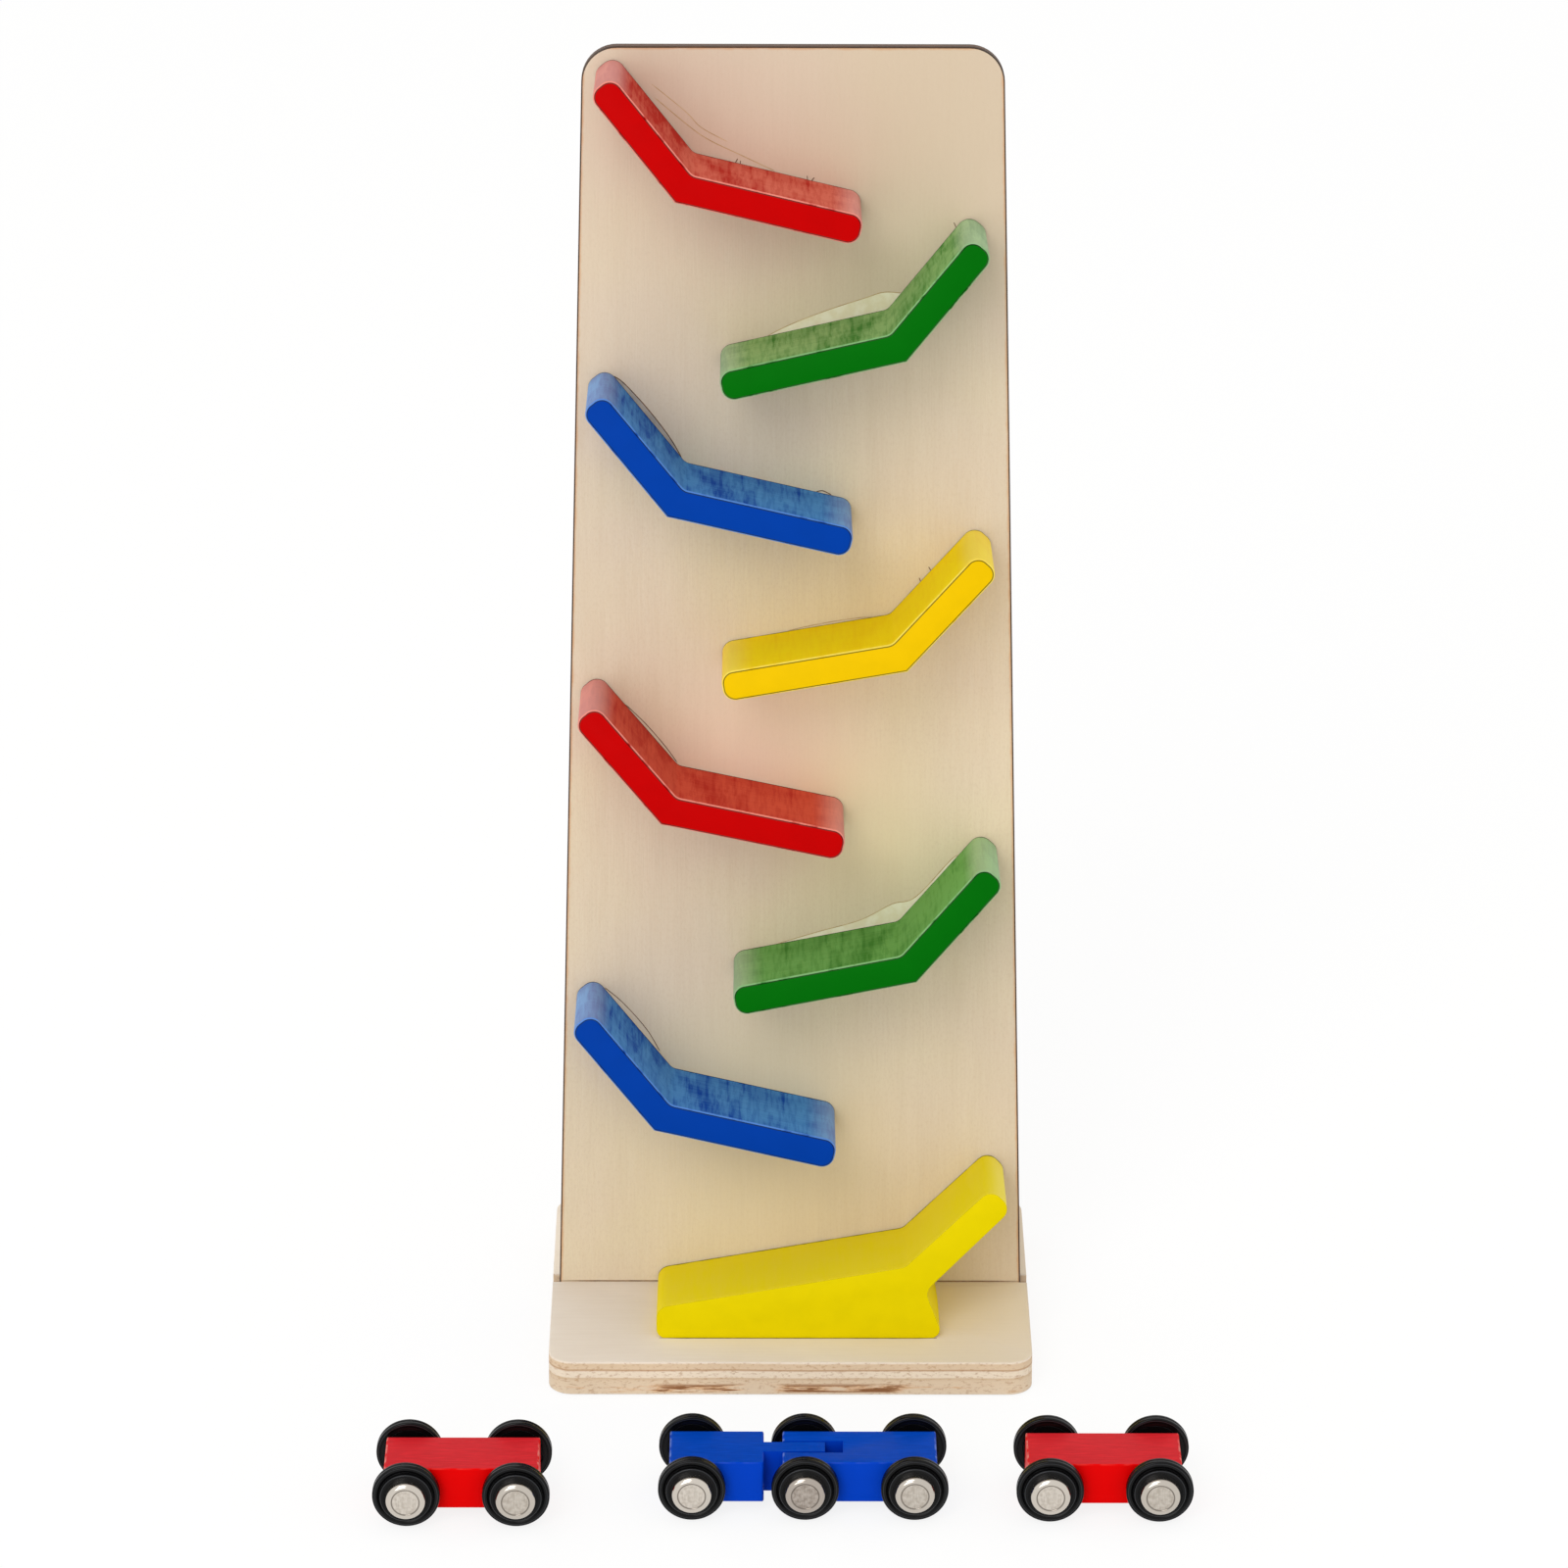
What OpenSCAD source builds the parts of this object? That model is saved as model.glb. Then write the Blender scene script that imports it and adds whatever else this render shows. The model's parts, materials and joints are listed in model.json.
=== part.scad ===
// Click clack track toy: a leaning plywood tower with eight zigzag ramps,
// two four-wheeled cars and one articulated six-wheeled truck.
// Millimetres. +X right, front towards -Y, +Z up.
// The origin is the centre of the base plate's underside.

/* [Base plate] */
// width of the base plate
base_w = 160; // [158:1:176]
// depth of the base plate
base_d = 124; // [120:1:136]
// thickness of the plywood base plate
base_t = 12; // [11:0.5:15]
// radius of the base plate's upright corners
base_r = 8; // [4:0.5:12]
// how far the panel's foot line lies in front of the base centre
panel_setback = 2.2; // [0:0.2:5]
// depth of the groove that holds the panel
groove_d = 7; // [5:0.5:8]

/* [Back panel] */
// height of the panel above the base, along its face
panel_h = 420; // [414:2:450]
// width of the panel where it enters the base
panel_w = 155.4; // [152:0.2:157]
// how much narrower the panel is at the top
panel_taper = 19; // [14:1:24]
// thickness of the panel
panel_t = 6; // [5:0.5:8]
// radius of the panel's top corners
panel_r = 11.5; // [6:0.5:16]
// angle the panel leans back
lean = 7.6; // [5:0.1:9]

/* [Ramps] */
// how far the ramps stand out from the panel
ramp_depth = 41.6; // [38:0.2:45]
// thickness of a ramp's two arms
ramp_t = 10; // [9.2:0.2:11.6]
// length of the running arm
run_l = 56.6; // [52:0.2:58]
// length of the steep arm
steep_l = 40.8; // [38:0.2:43]
// angle between the two arms' directions
bend = 38; // [34:0.5:41]
// slope of the running arm
run_slope = 12.2; // [10:0.2:14]
// radius at the arms' ends
end_r = 4.2; // [3:0.1:4.6]
// radius in the inner corner
inner_r = 4; // [2:0.5:8]
// distance from the panel's edge to the left ramps
margin_left = 4.6; // [3:0.2:7]
// distance from the panel's edge to the right ramps
margin_right = 7; // [5:0.2:9]
// inner corner of the top ramp, below the panel's top edge
top_drop = 34.6; // [33:0.2:40]
// inner corner of the lowest hung ramp, above the base
low_rise = 75.4; // [73:0.2:80]

/* [Foot ramp] */
// inner corner of the foot ramp, above the base
foot_rise = 19.2; // [18:0.2:22]
// distance from the panel's edge to the foot ramp
foot_margin = 5.8; // [5:0.2:9]
// length of the foot ramp's running face
foot_run = 82.4; // [76:0.2:86]
// slope of the foot ramp's running face
foot_slope = 9.8; // [8:0.2:11]
// angle of the foot ramp's steep arm
foot_steep = 44; // [41:0.5:47]
// length of the foot ramp's steep arm
foot_arm = 39.4; // [36:0.2:42]
// thickness of the steep arm at its root
foot_t = 10.9; // [10:0.1:12]
// how far the notch under the steep arm lies below the inner corner
foot_notch = 1; // [0:0.2:2]
// how far the foot's right side flares out towards the base
foot_flare = 6.2; // [4:0.2:8]
// radius at the foot's lower corners
foot_r = 3; // [2:0.2:4]
// radius in the notch and in the inner corner
notch_r = 4.4; // [3:0.2:6]

/* [Screws] */
// shank diameter of the wood screws
screw_d = 3; // [2.6:0.1:3.6]
// head diameter of the wood screws
screw_head = 6; // [5.4:0.1:7]
// length of the ramp screws
screw_l = 20; // [16:0.5:24]
// length of the screws under the base
foot_screw_l = 18; // [16.5:0.5:19]
// clearance around a screw's shank
screw_gap = 0.05; // [0.02:0.01:0.1]

/* [Cars] */
// wheel diameter
wheel_d = 21.6; // [20.6:0.2:24]
// width of the wheel's rim
rim_w = 3.2; // [2.6:0.1:3.8]
// height of the raised hub on the wheel's outer face
hub_h = 1.3; // [0.8:0.1:2]
// diameter of the raised hub
hub_d = 16.6; // [15.6:0.2:17]
// diameter of the metal cap
cap_d = 12.7; // [11.6:0.1:13.6]
// height of the metal cap
cap_h = 3; // [2.6:0.1:3.6]
// distance between the middles of two wheels on an axle
track = 29.6; // [29:0.2:33]
// distance from an axle to the nearer end of the body
overhang = 7.2; // [6.4:0.1:8]
// length of a car's body
body_l = 49.4; // [48:0.2:52]
// width of a car's body
body_w = 21.8; // [20:0.2:22]
// height of a car's body
body_h = 14.2; // [13:0.2:15]
// axle diameter
axle_d = 3; // [2.6:0.1:3.4]
// running clearance around an axle
axle_gap = 0.08; // [0.04:0.01:0.1]
// grip clearance of wheel and cap on the axle
grip_gap = 0.02; // [0.01:0.01:0.03]
// side play between wheel and body
side_play = 0.4; // [0.2:0.1:0.8]

/* [Truck] */
// length of the tractor's body
tractor_l = 30.2; // [29:0.2:32]
// gap between the tractor and the trailer
hitch_gap = 6; // [5.4:0.2:7]
// width of the tractor's tongue
tongue_w = 6.4; // [5.6:0.2:7]
// length of the tongue past the middle axle
tongue_end = 6.4; // [5:0.2:7]
// clearance between the tongue and the slot on each side
slot_play = 0.8; // [0.5:0.1:1]
// length of the trailer's slot past the middle axle
slot_end = 12.2; // [11.4:0.2:13]

/* [Places on the floor] */
// distance of the left car's centre line in front of the base
red_a_gap = 75; // [70:1:90]
// distance of the right car's centre line in front of the base
red_b_gap = 71.6; // [68:1:90]
// distance of the truck's centre line in front of the base
truck_gap = 70.6; // [68:1:90]
// middle of the left car
red_a_x = -105.4; // [-112:0.2:-105]
// middle of the right car
red_b_x = 100; // [100:0.2:106]
// middle axle of the truck
truck_x = 4.3; // [2:0.1:6]

/* [Hidden] */
$fn = 64;
eps = 0.01;
panel_y = -panel_setback;
taper_k = panel_taper / (2 * panel_h);
taper_s = sqrt(1 + taper_k * taper_k);
wheel_r = wheel_d / 2;
pitch_v = (panel_h - top_drop - low_rise) / 6;
// small hand-set turn, inward shift and lift of each hung ramp, from the top down
hand = [[1.2, 0.6, 0], [0.6, 0.4, 0.1], [0.7, 0, 0.7], [-2.4, 0.1, 1.3],
    [-0.4, -0.6, 1.4], [-1.1, -0.5, -0.5], [0.6, 0, 0]];
ramp_red = "#cc0505";
ramp_green = "#0a7312";
ramp_blue = "#0a43b0";
ramp_yellow = "#ecc800";
birch = "#dcc8ac";
steel = "#b9b6ae";
black = "#18181a";
nickel = "#cbc4b6";
car_red = "#e00808";
car_blue = "#0a3fc8";
bead_r = 0.5;
edge_r = 0.6;
corner_r = 1.2;
foot_dip = ramp_depth * tan(lean) + 5 * eps;
foot_y = panel_y - ramp_depth / (2 * cos(lean));
screw_in = 0.55;
red_a_y = -base_d / 2 - red_a_gap;
red_b_y = -base_d / 2 - red_b_gap;
truck_y = -base_d / 2 - truck_gap;
boss_d = 8;
boss_l = track / 2 - rim_w / 2 - body_w / 2 - side_play;
cap_seat = track / 2 + rim_w / 2 + hub_h;
axle_l = 2 * (cap_seat + cap_h / 2);
wheelbase = body_l - 2 * overhang;
hitch_l = overhang + hitch_gap;
tractor_axle = truck_x - hitch_l - tractor_l + overhang;

// Panel coordinates: x right, y up along the panel's face, z out of the face.
module on_panel() {
    translate([0, panel_y, base_t])
        rotate([90 - lean, 0, 0])
            children();
}

// half width of the panel at a height along its face
function half_w(v) = panel_w / 2 - taper_k * v;

// height along the panel of hung ramp i, counted from the top
function ramp_v(i) = panel_h - top_drop - i * pitch_v + hand[i][2];

function ramp_tilt(i) = run_slope + hand[i][0];

// reach of a steep arm from the inner corner out to the side
function reach(l, a) = (l - end_r) * cos(a) + (ramp_t - end_r) * sin(a) + end_r;

function side(i) = (i % 2 == 0) ? -1 : 1;

// sideways place of hung ramp i's inner corner
function ramp_u(i) = side(i) * (half_w(ramp_v(i))
    - (side(i) < 0 ? margin_left : margin_right) - hand[i][1]
    - reach(steep_l, ramp_tilt(i) + bend));

function foot_u() = half_w(foot_rise) - foot_margin - reach(foot_arm, foot_steep);

// A point on the steep arm: a along it from the inner corner, t into its thickness.
function steep_pt(a, t) = [-a * cos(bend) - t * sin(bend), a * sin(bend) - t * cos(bend)];

// What is cut off the two corners of an arm that ends at x = l, below the x axis.
module tip_cut_2d(l) {
    difference() {
        translate([l - end_r, -ramp_t - 1]) square([end_r + 1, ramp_t + 2]);
        translate([l - end_r - 1, end_r - ramp_t]) square([end_r + 3, ramp_t - 2 * end_r]);
        translate([l - end_r, -end_r]) circle(r = end_r + eps);
        translate([l - end_r, end_r - ramp_t]) circle(r = end_r + eps);
    }
}

// Outline of a hung ramp: running arm along +x, steep arm up to the left.
module ramp_2d() {
    tan_l = inner_r * tan(bend / 2);
    corner = [for (k = [0:8])
        [tan_l - inner_r * sin(k * bend / 8), inner_r - inner_r * cos(k * bend / 8)]];
    difference() {
        polygon(concat(corner, [steep_pt(steep_l, 0), steep_pt(steep_l, ramp_t),
            [-ramp_t * tan(bend / 2), -ramp_t], [run_l, -ramp_t], [run_l, 0]]));
        tip_cut_2d(run_l);
        rotate(180 - bend) translate([0, ramp_t]) tip_cut_2d(steep_l);
    }
}

// Places children in hung ramp i's own frame on the panel.
module at_ramp(i) {
    on_panel()
        translate([ramp_u(i), ramp_v(i), 0])
            mirror([side(i) > 0 ? 1 : 0, 0, 0])
                rotate([0, 0, -ramp_tilt(i)])
                    children();
}

// the two screw places in a hung ramp's own frame
module ramp_screw_places() {
    translate([screw_in * run_l, -ramp_t / 2, 0]) children();
    mirror([1, 0, 0])
        rotate([0, 0, bend])
            translate([screw_in * steep_l, -ramp_t / 2, 0])
                children();
}

// the two screw places of the foot ramp, in panel coordinates
module foot_panel_screw_places() {
    translate([foot_u() - foot_run / 2, foot_rise - foot_run / 2 * tan(foot_slope) - ramp_t / 2, 0]) children();
    translate(foot_pt(foot_arm * screw_in, ramp_t / 2)) children();
}

// the two screw places under the base, at its underside
module base_screw_places() {
    translate([foot_u() - foot_run * 0.7, foot_y, 0]) children();
    translate([foot_u() - foot_run * 0.1, foot_y, 0]) children();
}

// A countersunk wood screw: head face at z = 0, pointing along +z.
module screw_solid(l) {
    cone = (screw_head - screw_d) / 2;
    tip = screw_d * 0.8;
    difference() {
        rotate_extrude()
            polygon([[0, 0], [screw_head / 2, 0], [screw_d / 2, cone], [screw_d / 2, l - tip], [0.3, l], [0, l]]);
        translate([-screw_head * 0.28, -0.4, -eps]) cube([screw_head * 0.56, 0.8, 0.9]);
        translate([-0.4, -screw_head * 0.28, -eps]) cube([0.8, screw_head * 0.56, 0.9]);
    }
}

// The hole a screw goes in.
module screw_hole(l) {
    cone = (screw_head - screw_d) / 2;
    tip = screw_d * 0.8;
    r = screw_d / 2 + screw_gap;
    rotate_extrude()
        polygon([[0, -1], [screw_head / 2, -1], [screw_head / 2, 0], [r, cone - screw_gap],
            [r, l - tip], [0.3 + screw_gap, l + screw_gap], [0, l + screw_gap]]);
}

module hung_ramp(i) {
    difference() {
        at_ramp(i) linear_extrude(height = ramp_depth) ramp_2d();
        at_ramp(i) ramp_screw_places() translate([0, 0, -panel_t]) screw_hole(screw_l);
    }
}

// A point on the foot ramp's steep arm: a along it, t into its thickness.
function foot_pt(a, t) = [foot_u() + a * cos(foot_steep) + t * sin(foot_steep),
    foot_rise + a * sin(foot_steep) - t * cos(foot_steep)];

// Points of a corner p between a and b, rounded with radius r.
function corner_arc(a, p, b, r, n = 8) =
    let (da = (a - p) / norm(a - p), db = (b - p) / norm(b - p),
        half = acos(da * db) / 2,
        c = p + (da + db) / norm(da + db) * r / sin(half),
        s = p + da * r / tan(half) - c,
        e = p + db * r / tan(half) - c,
        start = atan2(s[1], s[0]),
        turn = atan2(s[0] * e[1] - s[1] * e[0], s * e))
    [for (k = [0:n]) c + r * [cos(start + turn * k / n), sin(start + turn * k / n)]];

// Outline of the foot ramp on the panel, before its bottom is cut along the base.
module foot_2d() {
    low = -foot_dip;
    left = [foot_u() - foot_run, low];
    notch = foot_pt(-foot_notch, foot_t);
    heel = [notch[0] + foot_flare, low];
    under = foot_pt(foot_arm, ramp_t);
    tip = foot_pt(foot_arm, 0);
    inner = foot_pt(0, 0);
    start = [left[0], foot_rise - foot_run * tan(foot_slope)];
    polygon(concat(
        corner_arc(start, left, heel, foot_r), corner_arc(left, heel, notch, foot_r),
        corner_arc(heel, notch, under, notch_r), corner_arc(notch, under, tip, end_r),
        corner_arc(under, tip, inner, end_r), corner_arc(tip, inner, start, notch_r),
        corner_arc(inner, start, left, end_r)));
}

module base_plate() {
    color(birch) difference() {
        linear_extrude(height = base_t) eased(base_w, base_d, base_r);
        on_panel()
            translate([-base_w, -groove_d, -panel_t])
                cube([2 * base_w, 2 * groove_d, panel_t]);
        base_screw_places() screw_hole(foot_screw_l);
    }
}

module panel_2d() {
    yc = panel_h - panel_r;
    xc = panel_w / 2 - taper_k * yc - panel_r * taper_s;
    sx = xc + panel_r / taper_s;
    sy = yc + panel_r * taper_k / taper_s;
    low = half_w(-groove_d);
    polygon([[-low, -groove_d], [low, -groove_d], [sx, sy], [xc, panel_h], [-xc, panel_h], [-sx, sy]]);
    translate([xc, yc]) circle(r = panel_r);
    translate([-xc, yc]) circle(r = panel_r);
}

module back_panel() {
    color(birch) difference() {
        on_panel() translate([0, 0, -panel_t]) linear_extrude(height = panel_t) panel_2d();
        for (i = [0:6])
            at_ramp(i) ramp_screw_places() translate([0, 0, -panel_t]) screw_hole(screw_l);
        on_panel() foot_panel_screw_places() translate([0, 0, -panel_t]) screw_hole(screw_l);
    }
}

module ramp_red_upper() color(ramp_red) hung_ramp(0);
module ramp_green_upper() color(ramp_green) hung_ramp(1);
module ramp_blue_upper() color(ramp_blue) hung_ramp(2);
module ramp_yellow_upper() color(ramp_yellow) hung_ramp(3);
module ramp_red_lower() color(ramp_red) hung_ramp(4);
module ramp_green_lower() color(ramp_green) hung_ramp(5);
module ramp_blue_lower() color(ramp_blue) hung_ramp(6);

module ramp_yellow_foot() {
    color(ramp_yellow) difference() {
        on_panel() linear_extrude(height = ramp_depth) foot_2d();
        translate([-base_w, -base_d, base_t - 40]) cube([2 * base_w, 2 * base_d, 40]);
        on_panel() foot_panel_screw_places() translate([0, 0, -panel_t]) screw_hole(screw_l);
        base_screw_places() screw_hole(foot_screw_l);
    }
}

module ramp_screws() {
    color(steel) {
        for (i = [0:6])
            at_ramp(i) ramp_screw_places() translate([0, 0, -panel_t]) screw_solid(screw_l);
        on_panel() foot_panel_screw_places() translate([0, 0, -panel_t]) screw_solid(screw_l);
    }
}

module foot_screws() {
    color(steel) base_screw_places() screw_solid(foot_screw_l);
}

// A block centred on the origin with eased edges.
module block(l, w, h) {
    intersection() {
        translate([0, 0, -h / 2]) linear_extrude(height = h) eased(l, w, corner_r);
        translate([0, w / 2, 0]) rotate([90, 0, 0]) linear_extrude(height = w) eased(l, h, edge_r);
        translate([-l / 2, 0, 0]) rotate([90, 0, 90]) linear_extrude(height = l) eased(w, h, edge_r);
    }
}

// A rectangle with round corners.
module eased(a, b, r) {
    square([a - 2 * r, b], center = true);
    square([a, b - 2 * r], center = true);
    for (sx = [-1, 1], sy = [-1, 1])
        translate([sx * (a / 2 - r), sy * (b / 2 - r)]) circle(r = r);
}

// The hole an axle runs in, across a body.
module axle_bore() {
    rotate([90, 0, 0]) cylinder(d = axle_d + 2 * axle_gap, h = 2 * body_w, center = true);
}

module car_body(x, y) {
    translate([x, y, wheel_r]) difference() {
        block(body_l, body_w, body_h);
        translate([-wheelbase / 2, 0, 0]) axle_bore();
        translate([wheelbase / 2, 0, 0]) axle_bore();
    }
}

module axle(x, y) {
    translate([x, y, wheel_r])
        rotate([90, 0, 0])
            cylinder(d = axle_d, h = axle_l, center = true);
}

// Places children on an axle's end: s is -1 for the near side and 1 for the far side, +z points outwards.
module axle_end(x, y, s) {
    translate([x, y, wheel_r]) rotate([-90 * s, 0, 0]) children();
}

// A double-beaded wheel with a raised hub outside and a spacing boss inside.
module wheel(x, y, s) {
    h = rim_w / 2;
    ri = axle_d / 2 + grip_gap;
    ro = wheel_r - bead_r;
    axle_end(x, y, s) translate([0, 0, track / 2]) rotate_extrude() {
        polygon([[ri, -h - boss_l], [boss_d / 2, -h - boss_l], [boss_d / 2, 0.5 - h], [hub_d / 2 - 0.6, 0.5 - h],
            [hub_d / 2, -h], [ro, -h], [ro, h], [hub_d / 2 + 1, h], [hub_d / 2 + 0.4, h - 0.4],
            [hub_d / 2, h - 0.4], [hub_d / 2, h + hub_h - bead_r], [hub_d / 2 - bead_r, h + hub_h], [ri, h + hub_h]]);
        translate([ro - 0.1, bead_r - h]) square([0.1 + bead_r, rim_w / 2 - 2 * bead_r]);
        translate([ro - 0.1, bead_r]) square([0.1 + bead_r, rim_w / 2 - 2 * bead_r]);
        translate([ro, bead_r - h]) circle(r = bead_r, $fn = 32);
        translate([ro, -bead_r]) circle(r = bead_r, $fn = 32);
        translate([ro, bead_r]) circle(r = bead_r, $fn = 32);
        translate([ro, h - bead_r]) circle(r = bead_r, $fn = 32);
        translate([hub_d / 2 - bead_r, h + hub_h - bead_r]) circle(r = bead_r, $fn = 32);
    }
}

// A pressed metal cap with a round shoulder, closed over the axle's end.
module cap(x, y, s) {
    r = cap_d / 2;
    shoulder = cap_h * 0.34;
    rf = r - shoulder;
    ra = axle_d / 2 + grip_gap;
    axle_end(x, y, s) translate([0, 0, cap_seat]) rotate_extrude() difference() {
        union() {
            polygon([[0, 0], [r, 0], [r, cap_h - shoulder], [rf, cap_h], [0, cap_h]]);
            translate([rf, cap_h - shoulder]) circle(r = shoulder);
        }
        translate([0, -cap_h]) square([2 * r, cap_h]);
        translate([-eps, cap_h - 0.2]) square([rf - 0.4 + eps, 1]);
        translate([-eps, -eps]) square([ra + eps, cap_h / 2 + grip_gap + eps]);
    }
}

module red_a_body() color(car_red) car_body(red_a_x, red_a_y);
module red_a_axle_left() color(steel) axle(red_a_x - wheelbase / 2, red_a_y);
module red_a_axle_right() color(steel) axle(red_a_x + wheelbase / 2, red_a_y);
module red_a_wheel_left_near() color(black) wheel(red_a_x - wheelbase / 2, red_a_y, -1);
module red_a_wheel_left_far() color(black) wheel(red_a_x - wheelbase / 2, red_a_y, 1);
module red_a_wheel_right_near() color(black) wheel(red_a_x + wheelbase / 2, red_a_y, -1);
module red_a_wheel_right_far() color(black) wheel(red_a_x + wheelbase / 2, red_a_y, 1);
module red_a_cap_left_near() color(nickel) cap(red_a_x - wheelbase / 2, red_a_y, -1);
module red_a_cap_left_far() color(nickel) cap(red_a_x - wheelbase / 2, red_a_y, 1);
module red_a_cap_right_near() color(nickel) cap(red_a_x + wheelbase / 2, red_a_y, -1);
module red_a_cap_right_far() color(nickel) cap(red_a_x + wheelbase / 2, red_a_y, 1);

module red_b_body() color(car_red) car_body(red_b_x, red_b_y);
module red_b_axle_left() color(steel) axle(red_b_x - wheelbase / 2, red_b_y);
module red_b_axle_right() color(steel) axle(red_b_x + wheelbase / 2, red_b_y);
module red_b_wheel_left_near() color(black) wheel(red_b_x - wheelbase / 2, red_b_y, -1);
module red_b_wheel_left_far() color(black) wheel(red_b_x - wheelbase / 2, red_b_y, 1);
module red_b_wheel_right_near() color(black) wheel(red_b_x + wheelbase / 2, red_b_y, -1);
module red_b_wheel_right_far() color(black) wheel(red_b_x + wheelbase / 2, red_b_y, 1);
module red_b_cap_left_near() color(nickel) cap(red_b_x - wheelbase / 2, red_b_y, -1);
module red_b_cap_left_far() color(nickel) cap(red_b_x - wheelbase / 2, red_b_y, 1);
module red_b_cap_right_near() color(nickel) cap(red_b_x + wheelbase / 2, red_b_y, -1);
module red_b_cap_right_far() color(nickel) cap(red_b_x + wheelbase / 2, red_b_y, 1);

// The tractor: a short block with a tongue that turns on the middle axle.
module truck_tractor() {
    color(car_blue) translate([truck_x, truck_y, wheel_r]) difference() {
        union() {
            translate([-hitch_l - tractor_l / 2, 0, 0]) block(tractor_l, body_w, body_h);
            translate([-hitch_l - tractor_l / 3, -tongue_w / 2, -body_h / 2])
                cube([tractor_l / 3 + hitch_l + tongue_end, tongue_w, body_h]);
        }
        axle_bore();
        translate([-hitch_l - tractor_l + overhang, 0, 0]) axle_bore();
    }
}

// The trailer: a full block with a slot for the tongue.
module truck_trailer() {
    slot_w = tongue_w + 2 * slot_play;
    color(car_blue) translate([truck_x, truck_y, wheel_r]) difference() {
        translate([body_l / 2 - overhang, 0, 0]) block(body_l, body_w, body_h);
        translate([-2 * overhang, -slot_w / 2, -body_h]) cube([2 * overhang + slot_end, slot_w, 2 * body_h]);
        axle_bore();
        translate([wheelbase, 0, 0]) axle_bore();
    }
}

module truck_axle_left() color(steel) axle(tractor_axle, truck_y);
module truck_axle_mid() color(steel) axle(truck_x, truck_y);
module truck_axle_right() color(steel) axle(truck_x + wheelbase, truck_y);
module truck_wheel_left_near() color(black) wheel(tractor_axle, truck_y, -1);
module truck_wheel_left_far() color(black) wheel(tractor_axle, truck_y, 1);
module truck_wheel_mid_near() color(black) wheel(truck_x, truck_y, -1);
module truck_wheel_mid_far() color(black) wheel(truck_x, truck_y, 1);
module truck_wheel_right_near() color(black) wheel(truck_x + wheelbase, truck_y, -1);
module truck_wheel_right_far() color(black) wheel(truck_x + wheelbase, truck_y, 1);
module truck_cap_left_near() color(nickel) cap(tractor_axle, truck_y, -1);
module truck_cap_left_far() color(nickel) cap(tractor_axle, truck_y, 1);
module truck_cap_mid_near() color(nickel) cap(truck_x, truck_y, -1);
module truck_cap_mid_far() color(nickel) cap(truck_x, truck_y, 1);
module truck_cap_right_near() color(nickel) cap(truck_x + wheelbase, truck_y, -1);
module truck_cap_right_far() color(nickel) cap(truck_x + wheelbase, truck_y, 1);

base_plate();
back_panel();
ramp_red_upper();
ramp_green_upper();
ramp_blue_upper();
ramp_yellow_upper();
ramp_red_lower();
ramp_green_lower();
ramp_blue_lower();
ramp_yellow_foot();
ramp_screws();
foot_screws();
red_a_body();
red_a_axle_left();
red_a_axle_right();
red_a_wheel_left_near();
red_a_wheel_left_far();
red_a_wheel_right_near();
red_a_wheel_right_far();
red_a_cap_left_near();
red_a_cap_left_far();
red_a_cap_right_near();
red_a_cap_right_far();
red_b_body();
red_b_axle_left();
red_b_axle_right();
red_b_wheel_left_near();
red_b_wheel_left_far();
red_b_wheel_right_near();
red_b_wheel_right_far();
red_b_cap_left_near();
red_b_cap_left_far();
red_b_cap_right_near();
red_b_cap_right_far();
truck_tractor();
truck_trailer();
truck_axle_left();
truck_axle_mid();
truck_axle_right();
truck_wheel_left_near();
truck_wheel_left_far();
truck_wheel_mid_near();
truck_wheel_mid_far();
truck_wheel_right_near();
truck_wheel_right_far();
truck_cap_left_near();
truck_cap_left_far();
truck_cap_mid_near();
truck_cap_mid_far();
truck_cap_right_near();
truck_cap_right_far();
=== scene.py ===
# %% [markdown]
# # A click clack track toy
# A leaning plywood tower carries eight painted zigzag ramps, and three small wooden
# vehicles stand in front of it. The solids come in already measured, so this lesson is about
# finish: softened edges, worn paint, birch grain, burnt cut edges, turned wheels and nickel caps.

# %% Load the solids
import json
import math

import bmesh
import bpy
from mathutils import Matrix, Vector

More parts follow.
